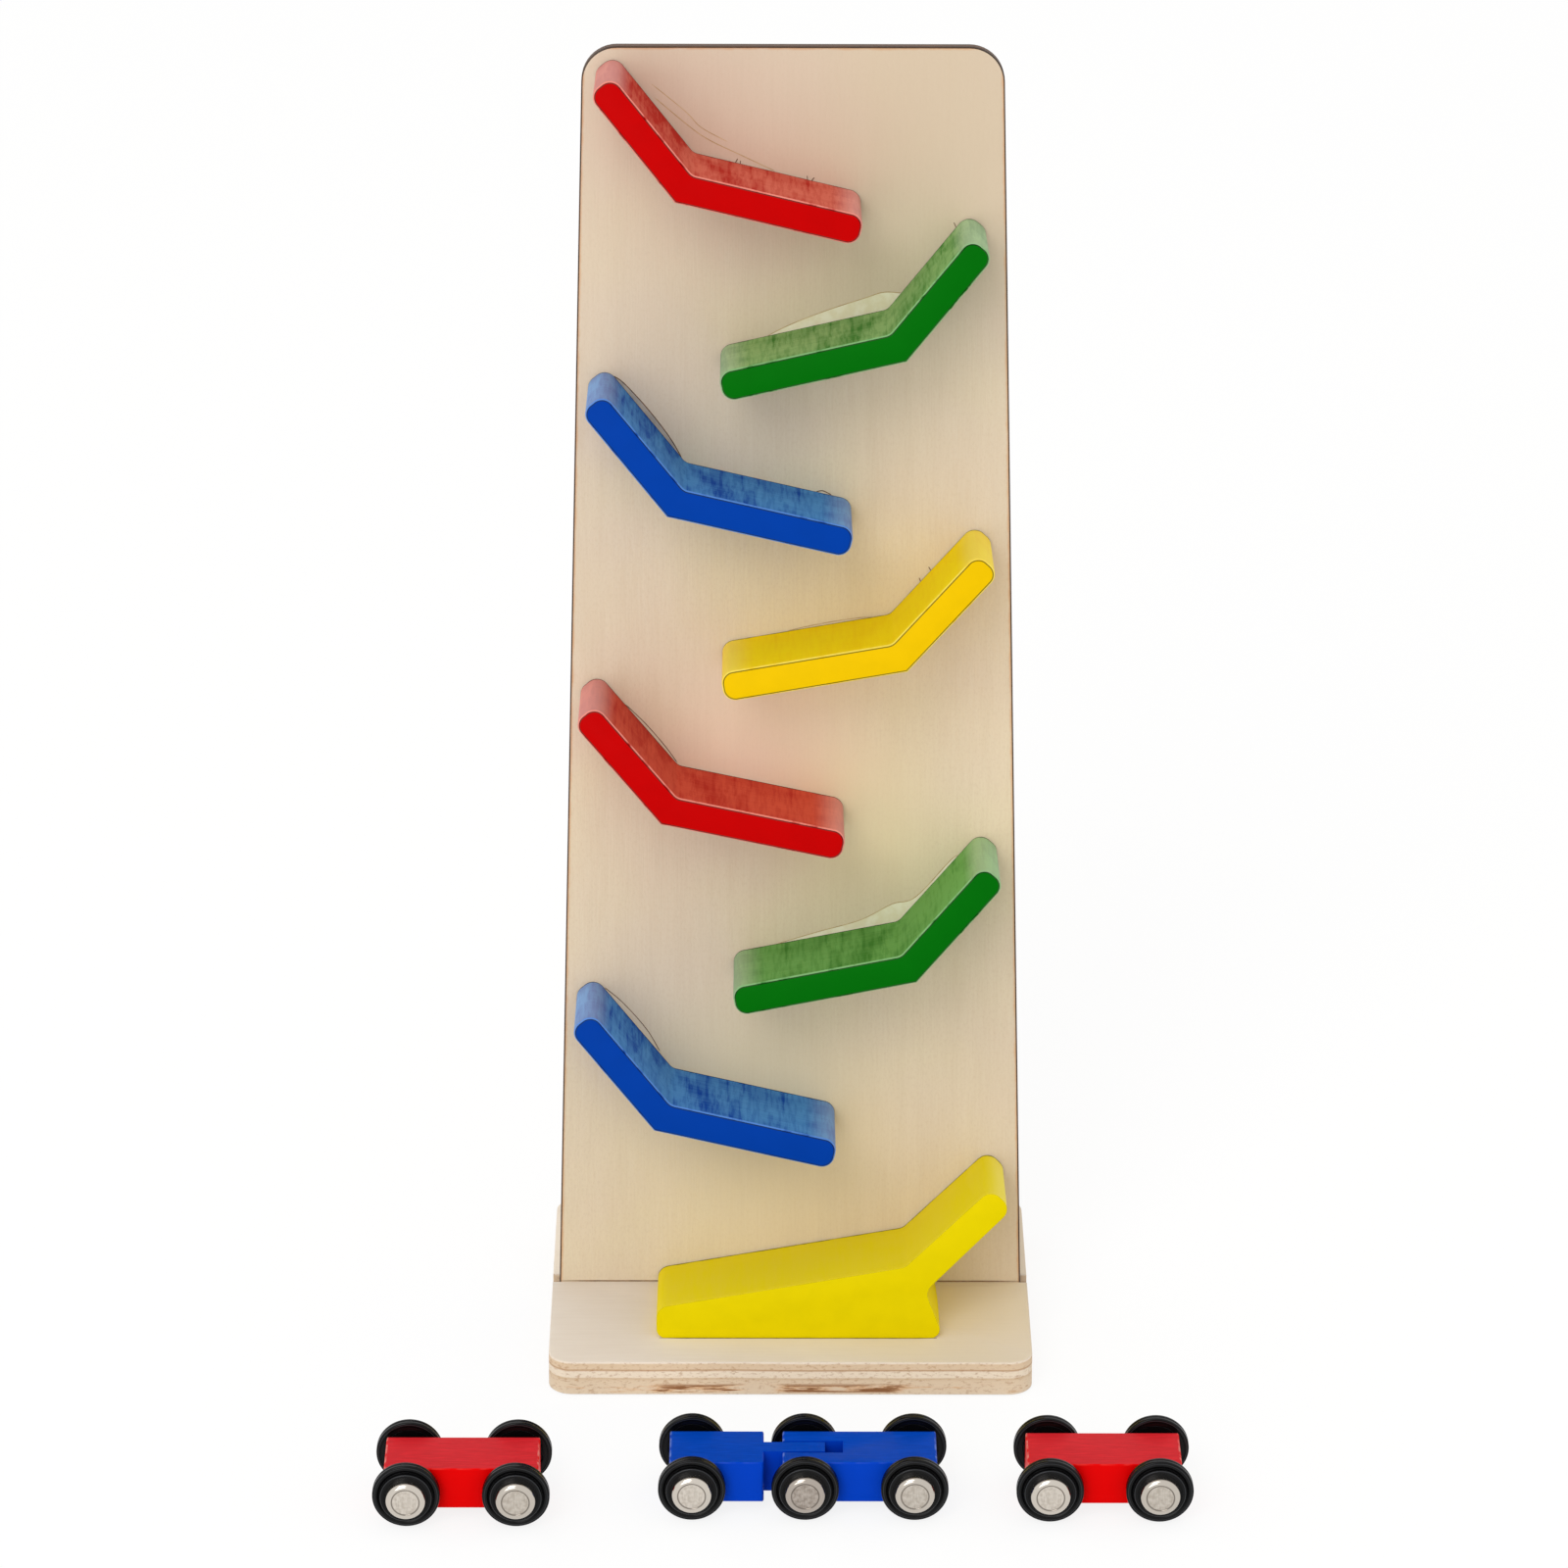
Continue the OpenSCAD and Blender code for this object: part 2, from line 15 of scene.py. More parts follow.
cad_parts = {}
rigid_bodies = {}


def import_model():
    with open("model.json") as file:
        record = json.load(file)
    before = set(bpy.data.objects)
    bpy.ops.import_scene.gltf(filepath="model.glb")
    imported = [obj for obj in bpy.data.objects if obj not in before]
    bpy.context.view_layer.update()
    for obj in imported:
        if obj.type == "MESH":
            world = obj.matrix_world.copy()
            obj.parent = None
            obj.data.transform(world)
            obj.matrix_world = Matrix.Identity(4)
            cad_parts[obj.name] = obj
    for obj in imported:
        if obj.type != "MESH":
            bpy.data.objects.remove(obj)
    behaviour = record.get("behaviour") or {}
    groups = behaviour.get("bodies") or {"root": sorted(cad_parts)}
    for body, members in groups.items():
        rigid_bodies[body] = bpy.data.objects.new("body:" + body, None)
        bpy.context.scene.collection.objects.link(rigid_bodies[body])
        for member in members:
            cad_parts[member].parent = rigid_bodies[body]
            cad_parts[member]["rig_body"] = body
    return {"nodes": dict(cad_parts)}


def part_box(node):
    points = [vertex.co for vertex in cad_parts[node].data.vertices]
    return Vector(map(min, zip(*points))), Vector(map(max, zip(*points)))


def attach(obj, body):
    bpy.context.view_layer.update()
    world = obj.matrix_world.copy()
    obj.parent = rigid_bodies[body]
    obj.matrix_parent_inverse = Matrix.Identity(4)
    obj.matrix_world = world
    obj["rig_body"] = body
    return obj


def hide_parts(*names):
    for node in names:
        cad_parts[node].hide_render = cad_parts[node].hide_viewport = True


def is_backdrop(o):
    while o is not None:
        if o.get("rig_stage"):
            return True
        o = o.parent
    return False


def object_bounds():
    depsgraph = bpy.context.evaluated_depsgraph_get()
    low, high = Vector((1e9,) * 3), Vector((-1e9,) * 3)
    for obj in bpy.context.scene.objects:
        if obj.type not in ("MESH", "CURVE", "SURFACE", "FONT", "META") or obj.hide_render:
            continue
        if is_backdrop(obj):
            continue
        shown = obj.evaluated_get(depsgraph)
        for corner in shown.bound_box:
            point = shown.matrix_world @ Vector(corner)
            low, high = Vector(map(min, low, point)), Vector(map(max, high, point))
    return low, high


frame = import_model()
solid_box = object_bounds()

# %% [markdown]
# ## Camera
# The toy is seen from the front and above. A long lens keeps the tower's sides nearly parallel.
# The place and the small turn and roll were worked out from the edges of base, panel and ramps.
# A rotation built from right, up and back vectors is easier to check than three angles.

# %% Camera
MM = 0.001
scene = bpy.context.scene
pitch, yaw, roll = math.radians(22.606), math.radians(0.2427), math.radians(0.171)
ahead = Vector((math.sin(yaw) * math.cos(pitch), math.cos(yaw) * math.cos(pitch), -math.sin(pitch)))
right = Vector((math.cos(yaw), -math.sin(yaw), 0))
up = right.cross(ahead)
turned_right = right * math.cos(roll) + up * math.sin(roll)
turned_up = up * math.cos(roll) - right * math.sin(roll)
camera = bpy.data.objects.new("camera", bpy.data.cameras.new("camera"))
scene.collection.objects.link(camera)
camera.matrix_world = Matrix.Translation(Vector((-11.926, -2226.94, 1120.15)) * MM) @ Matrix(
    (turned_right, turned_up, -ahead)).transposed().to_4x4()
camera.data.sensor_width = 36
camera.data.lens = 168.75
camera.data.clip_end = 30
scene.camera = camera
print("camera at", [round(c, 3) for c in camera.location])

# %% [markdown]
# ## Stage and light
# The toy stands on a plain white sweep. The floor shows white to the camera, and still
# takes a faint soft shadow, because part of it is an ordinary matt surface. A wide lamp high in
# front, a weaker one lower down and the pale surroundings give the soft shade under the ramps.

# %% Stage and light
def link(tree, a, b):
    tree.links.new(a, b)


def put(tree, value, socket):
    """Link a socket in, or set a plain value."""
    if isinstance(value, bpy.types.NodeSocket):
        link(tree, value, socket)
    else:
        socket.default_value = value


def add(tree, kind, **values):
    """A node with its inputs set by name."""
    made = tree.nodes.new(kind)
    for name, value in values.items():
        put(tree, value, made.inputs[name.replace("_", " ")])
    return made


def calc(tree, how, a, b=0.0, c=0.0, clamp=False):
    """One sum on one to three values."""
    made = tree.nodes.new("ShaderNodeMath")
    made.operation = how
    made.use_clamp = clamp
    for socket, value in zip(made.inputs, (a, b, c)):
        put(tree, value, socket)
    return made.outputs[0]


def blend(tree, amount, a, b):
    """One colour laid over another."""
    made = tree.nodes.new("ShaderNodeMix")
    made.data_type = "RGBA"
    for socket, value in zip((made.inputs[0], made.inputs[6], made.inputs[7]), (amount, a, b)):
        put(tree, value, socket)
    return made.outputs[2]


def step(tree, value, low, high):
    """0 below low, 1 above high, smooth between."""
    made = tree.nodes.new("ShaderNodeMapRange")
    made.interpolation_type = "SMOOTHSTEP"
    link(tree, value, made.inputs[0])
    made.inputs[1].default_value = low
    made.inputs[2].default_value = high
    return made.outputs[0]


def times(tree, a, b):
    return calc(tree, "MULTIPLY", a, b)


def without(tree, value):
    """What is left of 1."""
    return calc(tree, "SUBTRACT", 1.0, value)


def near(tree, value, middle, inner, outer):
    """1 close to a middle value, smoothly 0 from inner to outer away from it."""
    return without(tree, step(tree, calc(tree, "ABSOLUTE", calc(tree, "SUBTRACT", value, middle)), inner, outer))


def split(tree, vector):
    """The x, y and z of a place or direction."""
    made = tree.nodes.new("ShaderNodeSeparateXYZ")
    link(tree, vector, made.inputs[0])
    return made.outputs


def from_axis(tree, xyz):
    """How far a place lies from the z axis."""
    return calc(tree, "SQRT", calc(tree, "ADD", calc(tree, "POWER", xyz[0], 2.0), calc(tree, "POWER", xyz[1], 2.0)))


def srgb(r, g, b):
    """A colour as it is read off a screen, 0 to 255, as Blender's linear numbers."""
    return tuple((v / 255 / 12.92 if v < 10.3 else ((v / 255 + 0.055) / 1.055) ** 2.4) for v in (r, g, b)) + (1.0,)


def looked_at(tree):
    """1 for rays from the camera, in a gloss or through something clear; 0 for light on things."""
    path = tree.nodes.new("ShaderNodeLightPath").outputs
    straight = calc(tree, "MAXIMUM", path["Is Camera Ray"], path["Is Glossy Ray"])
    return calc(tree, "MAXIMUM", straight, path["Is Transmission Ray"])


scene.view_settings.view_transform = "Standard"
world = bpy.data.worlds.new("pale_room")
scene.world = world
world.use_nodes = True
tree = world.node_tree
tree.nodes.clear()
seen = looked_at(tree)
shown = add(tree, "ShaderNodeBackground", Color=(1, 1, 1, 1), Strength=1.0)
lit = add(tree, "ShaderNodeBackground", Color=(1, 0.99, 0.97, 1), Strength=0.85)
either = add(tree, "ShaderNodeMixShader", Fac=seen)
link(tree, lit.outputs[0], either.inputs[1])
link(tree, shown.outputs[0], either.inputs[2])
link(tree, either.outputs[0], tree.nodes.new("ShaderNodeOutputWorld").inputs[0])

floor_mesh = bpy.data.meshes.new("floor")
corners = [(x, y, -0.4 * MM) for x, y in ((-4, -4), (4, -4), (4, 4), (-4, 4))]
floor_mesh.from_pydata(corners, [], [(0, 1, 2, 3)])
floor = bpy.data.objects.new("floor", floor_mesh)
scene.collection.objects.link(floor)
floor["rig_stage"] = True
white = bpy.data.materials.new("white_sweep")
white.use_nodes = True
tree = white.node_tree
tree.nodes.clear()
matt = add(tree, "ShaderNodeBsdfDiffuse", Color=(0.9, 0.9, 0.9, 1))
glow = add(tree, "ShaderNodeEmission", Color=(1, 1, 1, 1), Strength=1.03)
share = times(tree, looked_at(tree), 0.82)
either = add(tree, "ShaderNodeMixShader", Fac=share)
link(tree, matt.outputs[0], either.inputs[1])
link(tree, glow.outputs[0], either.inputs[2])
link(tree, either.outputs[0], tree.nodes.new("ShaderNodeOutputMaterial").inputs[0])
floor_mesh.materials.append(white)


def lamp(name, place, aim, size, watts):
    """A round lamp turned towards a point."""
    data = bpy.data.lights.new(name, "AREA")
    data.shape = "DISK"
    data.size = size
    data.energy = watts
    made = bpy.data.objects.new(name, data)
    scene.collection.objects.link(made)
    made.location = place
    made.rotation_euler = (Vector(aim) - Vector(place)).to_track_quat("-Z", "Y").to_euler()


lamp("high_front", (-1.4, -3.5, 3.4), (0, 0, 0.2), 2.6, 54)
lamp("front_fill", (-1.2, -4.2, 1.0), (0, 0, 0.2), 2.0, 24)

# %% [markdown]
# ## Shared effects
# Several finishes need the same things: wood fibre, cloudy patches and small specks. Each is a
# node group with named inputs, built once and placed in a material with its own numbers.
# A group hands out only values, and the shader itself stays in the material.

# %% Fibre, cloud and speck groups
def effect(name, inputs, outputs):
    """A node group with named inputs and outputs."""
    group = bpy.data.node_groups.new(name, "ShaderNodeTree")
    for title, kind, value in inputs:
        socket = group.interface.new_socket(title, in_out="INPUT", socket_type="NodeSocket" + kind)
        if value is not None:
            socket.default_value = value
    for title, kind in outputs:
        group.interface.new_socket(title, in_out="OUTPUT", socket_type="NodeSocket" + kind)
    return group, group.nodes.new("NodeGroupInput").outputs, group.nodes.new("NodeGroupOutput").inputs


def stretched(tree, vector, scale):
    """A place scaled along x, y and z, which pulls a noise long or flat."""
    made = tree.nodes.new("ShaderNodeVectorMath")
    made.operation = "MULTIPLY"
    for socket, value in zip(made.inputs, (vector, scale)):
        put(tree, value, socket)
    return made.outputs[0]


def noise(tree, vector, scale=1.0, detail=3.0, rough=0.55, twist=0.0):
    return add(tree, "ShaderNodeTexNoise", Vector=vector, Scale=scale, Detail=detail, Roughness=rough,
               Distortion=twist).outputs["Fac"]


fibre, gi, go = effect("wood_fibre", [("Place", "Vector", None), ("Stretch", "Vector", (1, 1, 1))],
                       [("Fibre", "Float"), ("Bands", "Float")])
place = stretched(fibre, gi["Place"], gi["Stretch"])
fine = noise(fibre, place, 1.0, 4.0, 0.6)
bands = noise(fibre, place, 0.16, 3.0, 0.5, 0.4)
link(fibre, step(fibre, fine, 0.3, 0.7), go["Fibre"])
link(fibre, step(fibre, bands, 0.3, 0.7), go["Bands"])

cloud, gi, go = effect("soft_clouds", [("Place", "Vector", None), ("Scale", "Float", 20.0),
                                       ("Low", "Float", 0.4), ("High", "Float", 0.6)], [("Cloud", "Float")])
patches = noise(cloud, gi["Place"], gi["Scale"], 3.0, 0.55)
spread = cloud.nodes.new("ShaderNodeMapRange")
spread.interpolation_type = "SMOOTHSTEP"
link(cloud, patches, spread.inputs[0])
link(cloud, gi["Low"], spread.inputs[1])
link(cloud, gi["High"], spread.inputs[2])
link(cloud, spread.outputs[0], go["Cloud"])

specks, gi, go = effect("small_specks", [("Place", "Vector", None), ("Scale", "Float", 40.0),
                                         ("Size", "Float", 0.02)], [("Specks", "Float")])
cells = add(specks, "ShaderNodeTexVoronoi", Vector=gi["Place"], Scale=gi["Scale"])
pick = specks.nodes.new("ShaderNodeSeparateColor")
link(specks, cells.outputs["Color"], pick.inputs[0])
reach = times(specks, gi["Size"], step(specks, pick.outputs[0], 0.55, 1.0))
link(specks, calc(specks, "LESS_THAN", cells.outputs["Distance"], reach), go["Specks"])


def use(tree, group, **values):
    """A group placed in a tree, with its own numbers."""
    made = tree.nodes.new("ShaderNodeGroup")
    made.node_tree = group
    for name, value in values.items():
        put(tree, value, made.inputs[name])
    return made.outputs


def finish_of(name, rough=0.5, specular=0.5, **plain):
    """A new material with one Principled shader, its tree and its shader."""
    made = bpy.data.materials.new(name)
    made.use_nodes = True
    shader = made.node_tree.nodes["Principled BSDF"]
    shader.inputs["Roughness"].default_value = rough
    shader.inputs["Specular IOR Level"].default_value = specular
    for key, value in plain.items():
        shader.inputs[key.replace("_", " ")].default_value = value
    return made, made.node_tree, shader


def mark(tree, name):
    """A value written on the mesh's faces, read back in the material."""
    made = tree.nodes.new("ShaderNodeAttribute")
    made.attribute_name = name
    return made.outputs["Fac"]


def here(tree):
    return tree.nodes.new("ShaderNodeTexCoord").outputs["Object"]


def bump(tree, shader, height, strength, distance):
    made = add(tree, "ShaderNodeBump", Strength=strength, Distance=distance, Height=height)
    link(tree, made.outputs[0], shader.inputs["Normal"])


print("groups:", [g.name for g in bpy.data.node_groups])

# %% [markdown]
# ## Softened copies of the sawn pieces
# A sawn solid has knife-sharp edges, which no real piece has. Moving the solids isn't wanted, so
# each wooden piece gets a copy: the flat triangles are merged, the chosen edges are bevelled by
# less than a millimetre, and each face is marked as rim, front or running face for the paint.
# The copy is kept in the piece's own frame, so its material can follow the wood.

# %% Softened copies
def softened(node, local, width, wanted, material, segments=2):
    """A bevelled copy of a solid in its own frame, with its faces marked."""
    bm = bmesh.new()
    bm.from_mesh(frame["nodes"][node].data)
    bmesh.ops.remove_doubles(bm, verts=bm.verts, dist=2e-6)
    bmesh.ops.dissolve_limit(bm, angle_limit=math.radians(0.4), verts=bm.verts, edges=bm.edges)
    bm.transform(local.inverted())
    bm.normal_update()
    rim, line, front, run = (bm.faces.layers.float.new(n) for n in ("rim", "line", "front", "run"))
    edges = [e for e in bm.edges if len(e.link_faces) == 2 and e.calc_face_angle(0) > math.radians(28)
             and wanted(e.verts[0].co) and wanted(e.verts[1].co)]
    whole = {tuple(round(c, 4) for c in f.normal) for f in bm.faces}
    if edges:
        bmesh.ops.bevel(bm, geom=edges, offset=width, offset_type="OFFSET", segments=segments, profile=0.5,
                        affect="EDGES", clamp_overlap=True)
    bm.normal_update()
    turn = local.to_3x3()
    for f in bm.faces:
        f.smooth = True
        tilted = tuple(round(c, 4) for c in f.normal) not in whole
        sloped = tilted and min(e.calc_length() for e in f.edges) < 1.2 * width
        f[rim] = 1.0 if sloped else 0.0
        f[line] = 1.0 if sloped and f.normal.z > 0.9 else 0.0
        f[front] = 1.0 if f.normal.z > 0.9 else 0.0
        f[run] = 1.0 if (turn @ f.normal).z > 0.3 and f.normal.z < 0.5 else 0.0
    mesh = bpy.data.meshes.new(node + "_finished")
    bm.to_mesh(mesh)
    bm.free()
    mesh.set_sharp_from_angle(angle=math.radians(24))
    mesh.materials.append(material)
    piece = bpy.data.objects.new(node + "_finished", mesh)
    scene.collection.objects.link(piece)
    piece.matrix_world = local
    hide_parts(node)
    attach(piece, frame["nodes"][node]["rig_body"])
    rims = sum(d.value > 0.5 for d in mesh.attributes["rim"].data)
    print(node, "faces:", len(mesh.polygons), "rim faces:", rims)
    return piece


# %% [markdown]
# ## The back panel
# The panel is a thin birch board, cut by a hot beam that left its edge dark brown. Its
# frame lies in the board: x to the right, y up along the grain, z out of the face.
# The fibre is a noise pulled long along y; the burn comes from the distance to the tapered edge.
# Four wide soft areas are painted on the face, partly as light bounced off the ramps and partly
# as wood tone, and the face is painted darker towards its top as shade.

# %% Panel finish
LEAN = math.radians(7.6)
PANEL_H, PANEL_W, PANEL_TAPER, PANEL_T, BASE_T = 0.420, 0.1554, 0.019, 0.006, 0.012
ROUND_TOP, SUNK = 11.6 * MM, 6.9 * MM
panel_frame = Matrix.Translation((0, -2.2 * MM, BASE_T)) @ Matrix.Rotation(math.radians(90) - LEAN, 4, "X")

birch, tree, shader = finish_of("birch_face", 0.58, 0.25)
at = here(tree)
grain = use(tree, fibre, Place=at, Stretch=(1300.0, 60.0, 400.0))
tint = use(tree, cloud, Place=stretched(tree, at, (1.0, 0.35, 1.0)), Scale=26.0, Low=0.3, High=0.7)["Cloud"]
warm = use(tree, cloud, Place=at, Scale=7.0, Low=0.4, High=0.62)["Cloud"]
colour = blend(tree, tint, srgb(214, 196, 172), srgb(219, 202, 179))
colour = blend(tree, times(tree, warm, 0.75), colour, srgb(224, 210, 174))
blush = use(tree, cloud, Place=stretched(tree, at, (1.0, 1.0, -1.0)), Scale=13.0, Low=0.5, High=0.7)["Cloud"]
colour = blend(tree, times(tree, blush, 0.3), colour, srgb(220, 196, 178))
colour = blend(tree, times(tree, grain["Fibre"], 0.17), colour, srgb(200, 174, 142))
colour = blend(tree, times(tree, grain["Bands"], 0.15), colour, srgb(232, 216, 192))
tooth = noise(tree, stretched(tree, at, (1500.0, 700.0, 1000.0)), 1.0, 4.0, 0.7)
colour = blend(tree, times(tree, step(tree, tooth, 0.46, 0.66), 0.2), colour, srgb(196, 172, 140))
xyz = split(tree, at)
# Painted shade: the face is painted darker towards its top, where the light falls strongest.
colour = blend(tree, times(tree, step(tree, xyz[1], 0.26, 0.42), 0.6), colour, srgb(208, 190, 170))
# Painted light and tone: pale pools where light bounces off the ramps onto the panel, and soft patches of wood
# tone.
GLOW_AND_TONE_AREAS = ((-8, 186, 52, (240, 222, 198)), (-14, 56, 62, (234, 216, 170)),
              (20, 160, 40, (228, 210, 168)), (56, 396, 70, (204, 184, 158)))
for x, y, reach, tone in GLOW_AND_TONE_AREAS:
    off = add(tree, "ShaderNodeCombineXYZ", X=calc(tree, "SUBTRACT", xyz[0], x * MM),
              Y=calc(tree, "SUBTRACT", xyz[1], y * MM))
    length = tree.nodes.new("ShaderNodeVectorMath")
    length.operation = "LENGTH"
    link(tree, off.outputs[0], length.inputs[0])
    soft = without(tree, step(tree, length.outputs["Value"], 0.2 * reach * MM, reach * MM))
    soft = times(tree, soft, mark(tree, "front"))
    colour = blend(tree, times(tree, soft, 0.55), colour, srgb(*tone))
dots = use(tree, specks, Place=at, Scale=60.0, Size=0.017)["Specks"]
colour = blend(tree, times(tree, dots, 0.6), colour, srgb(130, 92, 62))
inset = calc(tree, "SUBTRACT", calc(tree, "SUBTRACT", PANEL_W / 2, times(tree, xyz[1],
             PANEL_TAPER / 2 / PANEL_H)), calc(tree, "ABSOLUTE", xyz[0]))
inset = calc(tree, "MINIMUM", inset, calc(tree, "SUBTRACT", PANEL_H, xyz[1]))
rough_edge = calc(tree, "MULTIPLY_ADD", noise(tree, at, 150.0, 4.0), 0.0012,
                  calc(tree, "SUBTRACT", inset, 0.0006))
toast = without(tree, step(tree, rough_edge, 0.0003, 0.0014))
colour = blend(tree, times(tree, toast, 0.7), colour, srgb(204, 146, 92))
burnt = without(tree, step(tree, rough_edge, -0.0001, 0.00035))
burnt = calc(tree, "MAXIMUM", times(tree, burnt, 0.9), times(tree, mark(tree, "rim"), 0.92))
facing = split(tree, tree.nodes.new("ShaderNodeTexCoord").outputs["Normal"])
wall = without(tree, step(tree, calc(tree, "ABSOLUTE", facing[2]), 0.4, 0.7))
burnt = calc(tree, "MAXIMUM", burnt, times(tree, wall, 0.95))
core = near(tree, xyz[2], -PANEL_T / 2, 0.0007, 0.0011)
sooty = noise(tree, stretched(tree, at, (90.0, 90.0, 900.0)), 1.0, 4.0, 0.6)
lighter = calc(tree, "MULTIPLY_ADD", core, 0.45, times(tree, step(tree, sooty, 0.4, 0.75), 0.4))
char = blend(tree, lighter, srgb(34, 19, 12), srgb(122, 76, 44))
colour = blend(tree, burnt, colour, char)
link(tree, colour, shader.inputs["Base Color"])
bump(tree, shader, grain["Fibre"], 0.12, 0.0002)


def panel_outline(p):
    side = PANEL_W / 2 - PANEL_TAPER / 2 / PANEL_H * p.y - abs(p.x)
    return side < 3e-5 or p.y > PANEL_H - ROUND_TOP or p.y < -SUNK


softened("back_panel", panel_frame, 0.5 * MM, panel_outline, birch)

# %% [markdown]
# ## The base plate
# The base is twelve-millimetre plywood with round corners. From the front its edge shows the
# plies as pale and brown bands, with rough brown streaks in the lower one. The bands follow the
# height alone, bent a little by noise, and only on faces that look sideways.

# %% Base finish
ply, tree, shader = finish_of("birch_plies", 0.6, 0.25)
at = here(tree)
grain = use(tree, fibre, Place=at, Stretch=(40.0, 1300.0, 400.0))
tint = use(tree, cloud, Place=at, Scale=22.0, Low=0.3, High=0.7)["Cloud"]
top = blend(tree, tint, srgb(234, 221, 204), srgb(240, 229, 214))
top = blend(tree, times(tree, grain["Fibre"], 0.14), top, srgb(212, 193, 168))
xyz = split(tree, at)
# Painted shade: the top is painted darker and yellower towards the right, away from the light.
top = blend(tree, times(tree, step(tree, xyz[0], -0.05, 0.07), 0.7), top, srgb(218, 201, 175))
bent = noise(tree, stretched(tree, at, (30.0, 30.0, 30.0)), 1.0, 3.0)
wave = calc(tree, "MULTIPLY_ADD", bent, 0.0008, xyz[2])
ramp = tree.nodes.new("ShaderNodeValToRGB")
link(tree, calc(tree, "DIVIDE", wave, 0.0128), ramp.inputs[0])
bands = [(0.0, (206, 178, 144)), (0.05, (230, 212, 188)), (0.10, (228, 208, 182)), (0.42, (224, 202, 174)),
         (0.50, (212, 186, 154)), (0.53, (236, 220, 198)), (0.69, (236, 220, 198)), (0.735, (188, 150, 114)),
         (0.77, (222, 198, 168)), (0.90, (220, 194, 162)), (0.94, (238, 224, 206))]
for i, (at_height, tone) in enumerate(bands):
    stop = ramp.color_ramp.elements[i] if i < 2 else ramp.color_ramp.elements.new(at_height)
    stop.position = at_height
    stop.color = srgb(*tone)
cut = ramp.outputs[0]
pores = noise(tree, stretched(tree, at, (450.0, 450.0, 1000.0)), 1.0, 5.0, 0.72)
cut = blend(tree, times(tree, step(tree, pores, 0.5, 0.66), 0.58), cut, srgb(178, 136, 98))
low = times(tree, step(tree, xyz[2], 0.0006, 0.0014), without(tree, step(tree, xyz[2], 0.0028, 0.0046)))
torn = noise(tree, stretched(tree, at, (60.0, 60.0, 900.0)), 1.0, 5.0, 0.65)
knots = [near(tree, xyz[0], c * MM, 8 * MM, 20 * MM) for c in (-31, 10, 24)]
knotted = calc(tree, "MAXIMUM", knots[2], calc(tree, "MAXIMUM", knots[0], knots[1]))
torn = calc(tree, "MULTIPLY_ADD", knotted, 0.175, torn)
halo = times(tree, step(tree, torn, 0.54, 0.66), low)
cut = blend(tree, times(tree, halo, 0.6), cut, srgb(216, 160, 104))
streak = times(tree, step(tree, torn, 0.63, 0.7), low)
cut = blend(tree, times(tree, streak, 0.92), cut, srgb(130, 80, 40))
normal = split(tree, tree.nodes.new("ShaderNodeTexCoord").outputs["Normal"])
sideways = without(tree, step(tree, calc(tree, "ABSOLUTE", normal[2]), 0.5, 0.8))
link(tree, blend(tree, sideways, top, cut), shader.inputs["Base Color"])
bump(tree, shader, blend(tree, sideways, grain["Fibre"], pores), 0.15, 0.0002)
HALF_W, HALF_D, CORNER = 80 * MM, 62 * MM, 8.1 * MM


def base_outline(p):
    rim_here = min(abs(p.z), abs(p.z - BASE_T)) < 1e-5
    corner = abs(p.x) > HALF_W - CORNER and abs(p.y) > HALF_D - CORNER
    return rim_here and (abs(p.x) > HALF_W - 2e-5 or abs(p.y) > HALF_D - 2e-5 or corner)


softened("base_plate", Matrix(), 0.5 * MM, base_outline, ply, 3)

# %% [markdown]
# ## The painted ramps
# Each ramp is a bent bar, painted thickly on its front face. On the running faces the cars have
# rubbed the paint thin, so streaks of the pale wood come through, and the front rim is rubbed
# bare. One function makes the paint, and each colour passes its own five tones. The lower red and
# green ramps are rubbed more evenly, so they have paints of their own.

# %% Paint finish
DEPTH, RUN_L, STEEP_L, BAR_T, END_R, BEND, SLOPE = 41.6, 56.6, 40.8, 10.0, 4.2, 38.0, 12.2
BEND_X, BEND_Y = math.cos(math.radians(BEND)), math.sin(math.radians(BEND))


def up_steep(tree, x, y):
    """How far up the steep arm a point lies, in metres; below zero on the running arm."""
    return calc(tree, "SUBTRACT", times(tree, calc(tree, "ABSOLUTE", y), BEND_Y), times(tree, x, BEND_X))


def arm_ends(tree, x, y):
    """Grows to 1 over the last millimetres of both arms of a hung ramp."""
    return calc(tree, "MAXIMUM", step(tree, x, (RUN_L - 12) * MM, (RUN_L - 1) * MM),
                step(tree, up_steep(tree, x, y), (STEEP_L - 10) * MM, (STEEP_L - 1) * MM))


def foot_end(tree, x, y):
    """Grows to 1 over the last millimetres of the foot ramp's steep arm."""
    return step(tree, times(tree, x, -1.0), 64 * MM, 71 * MM)


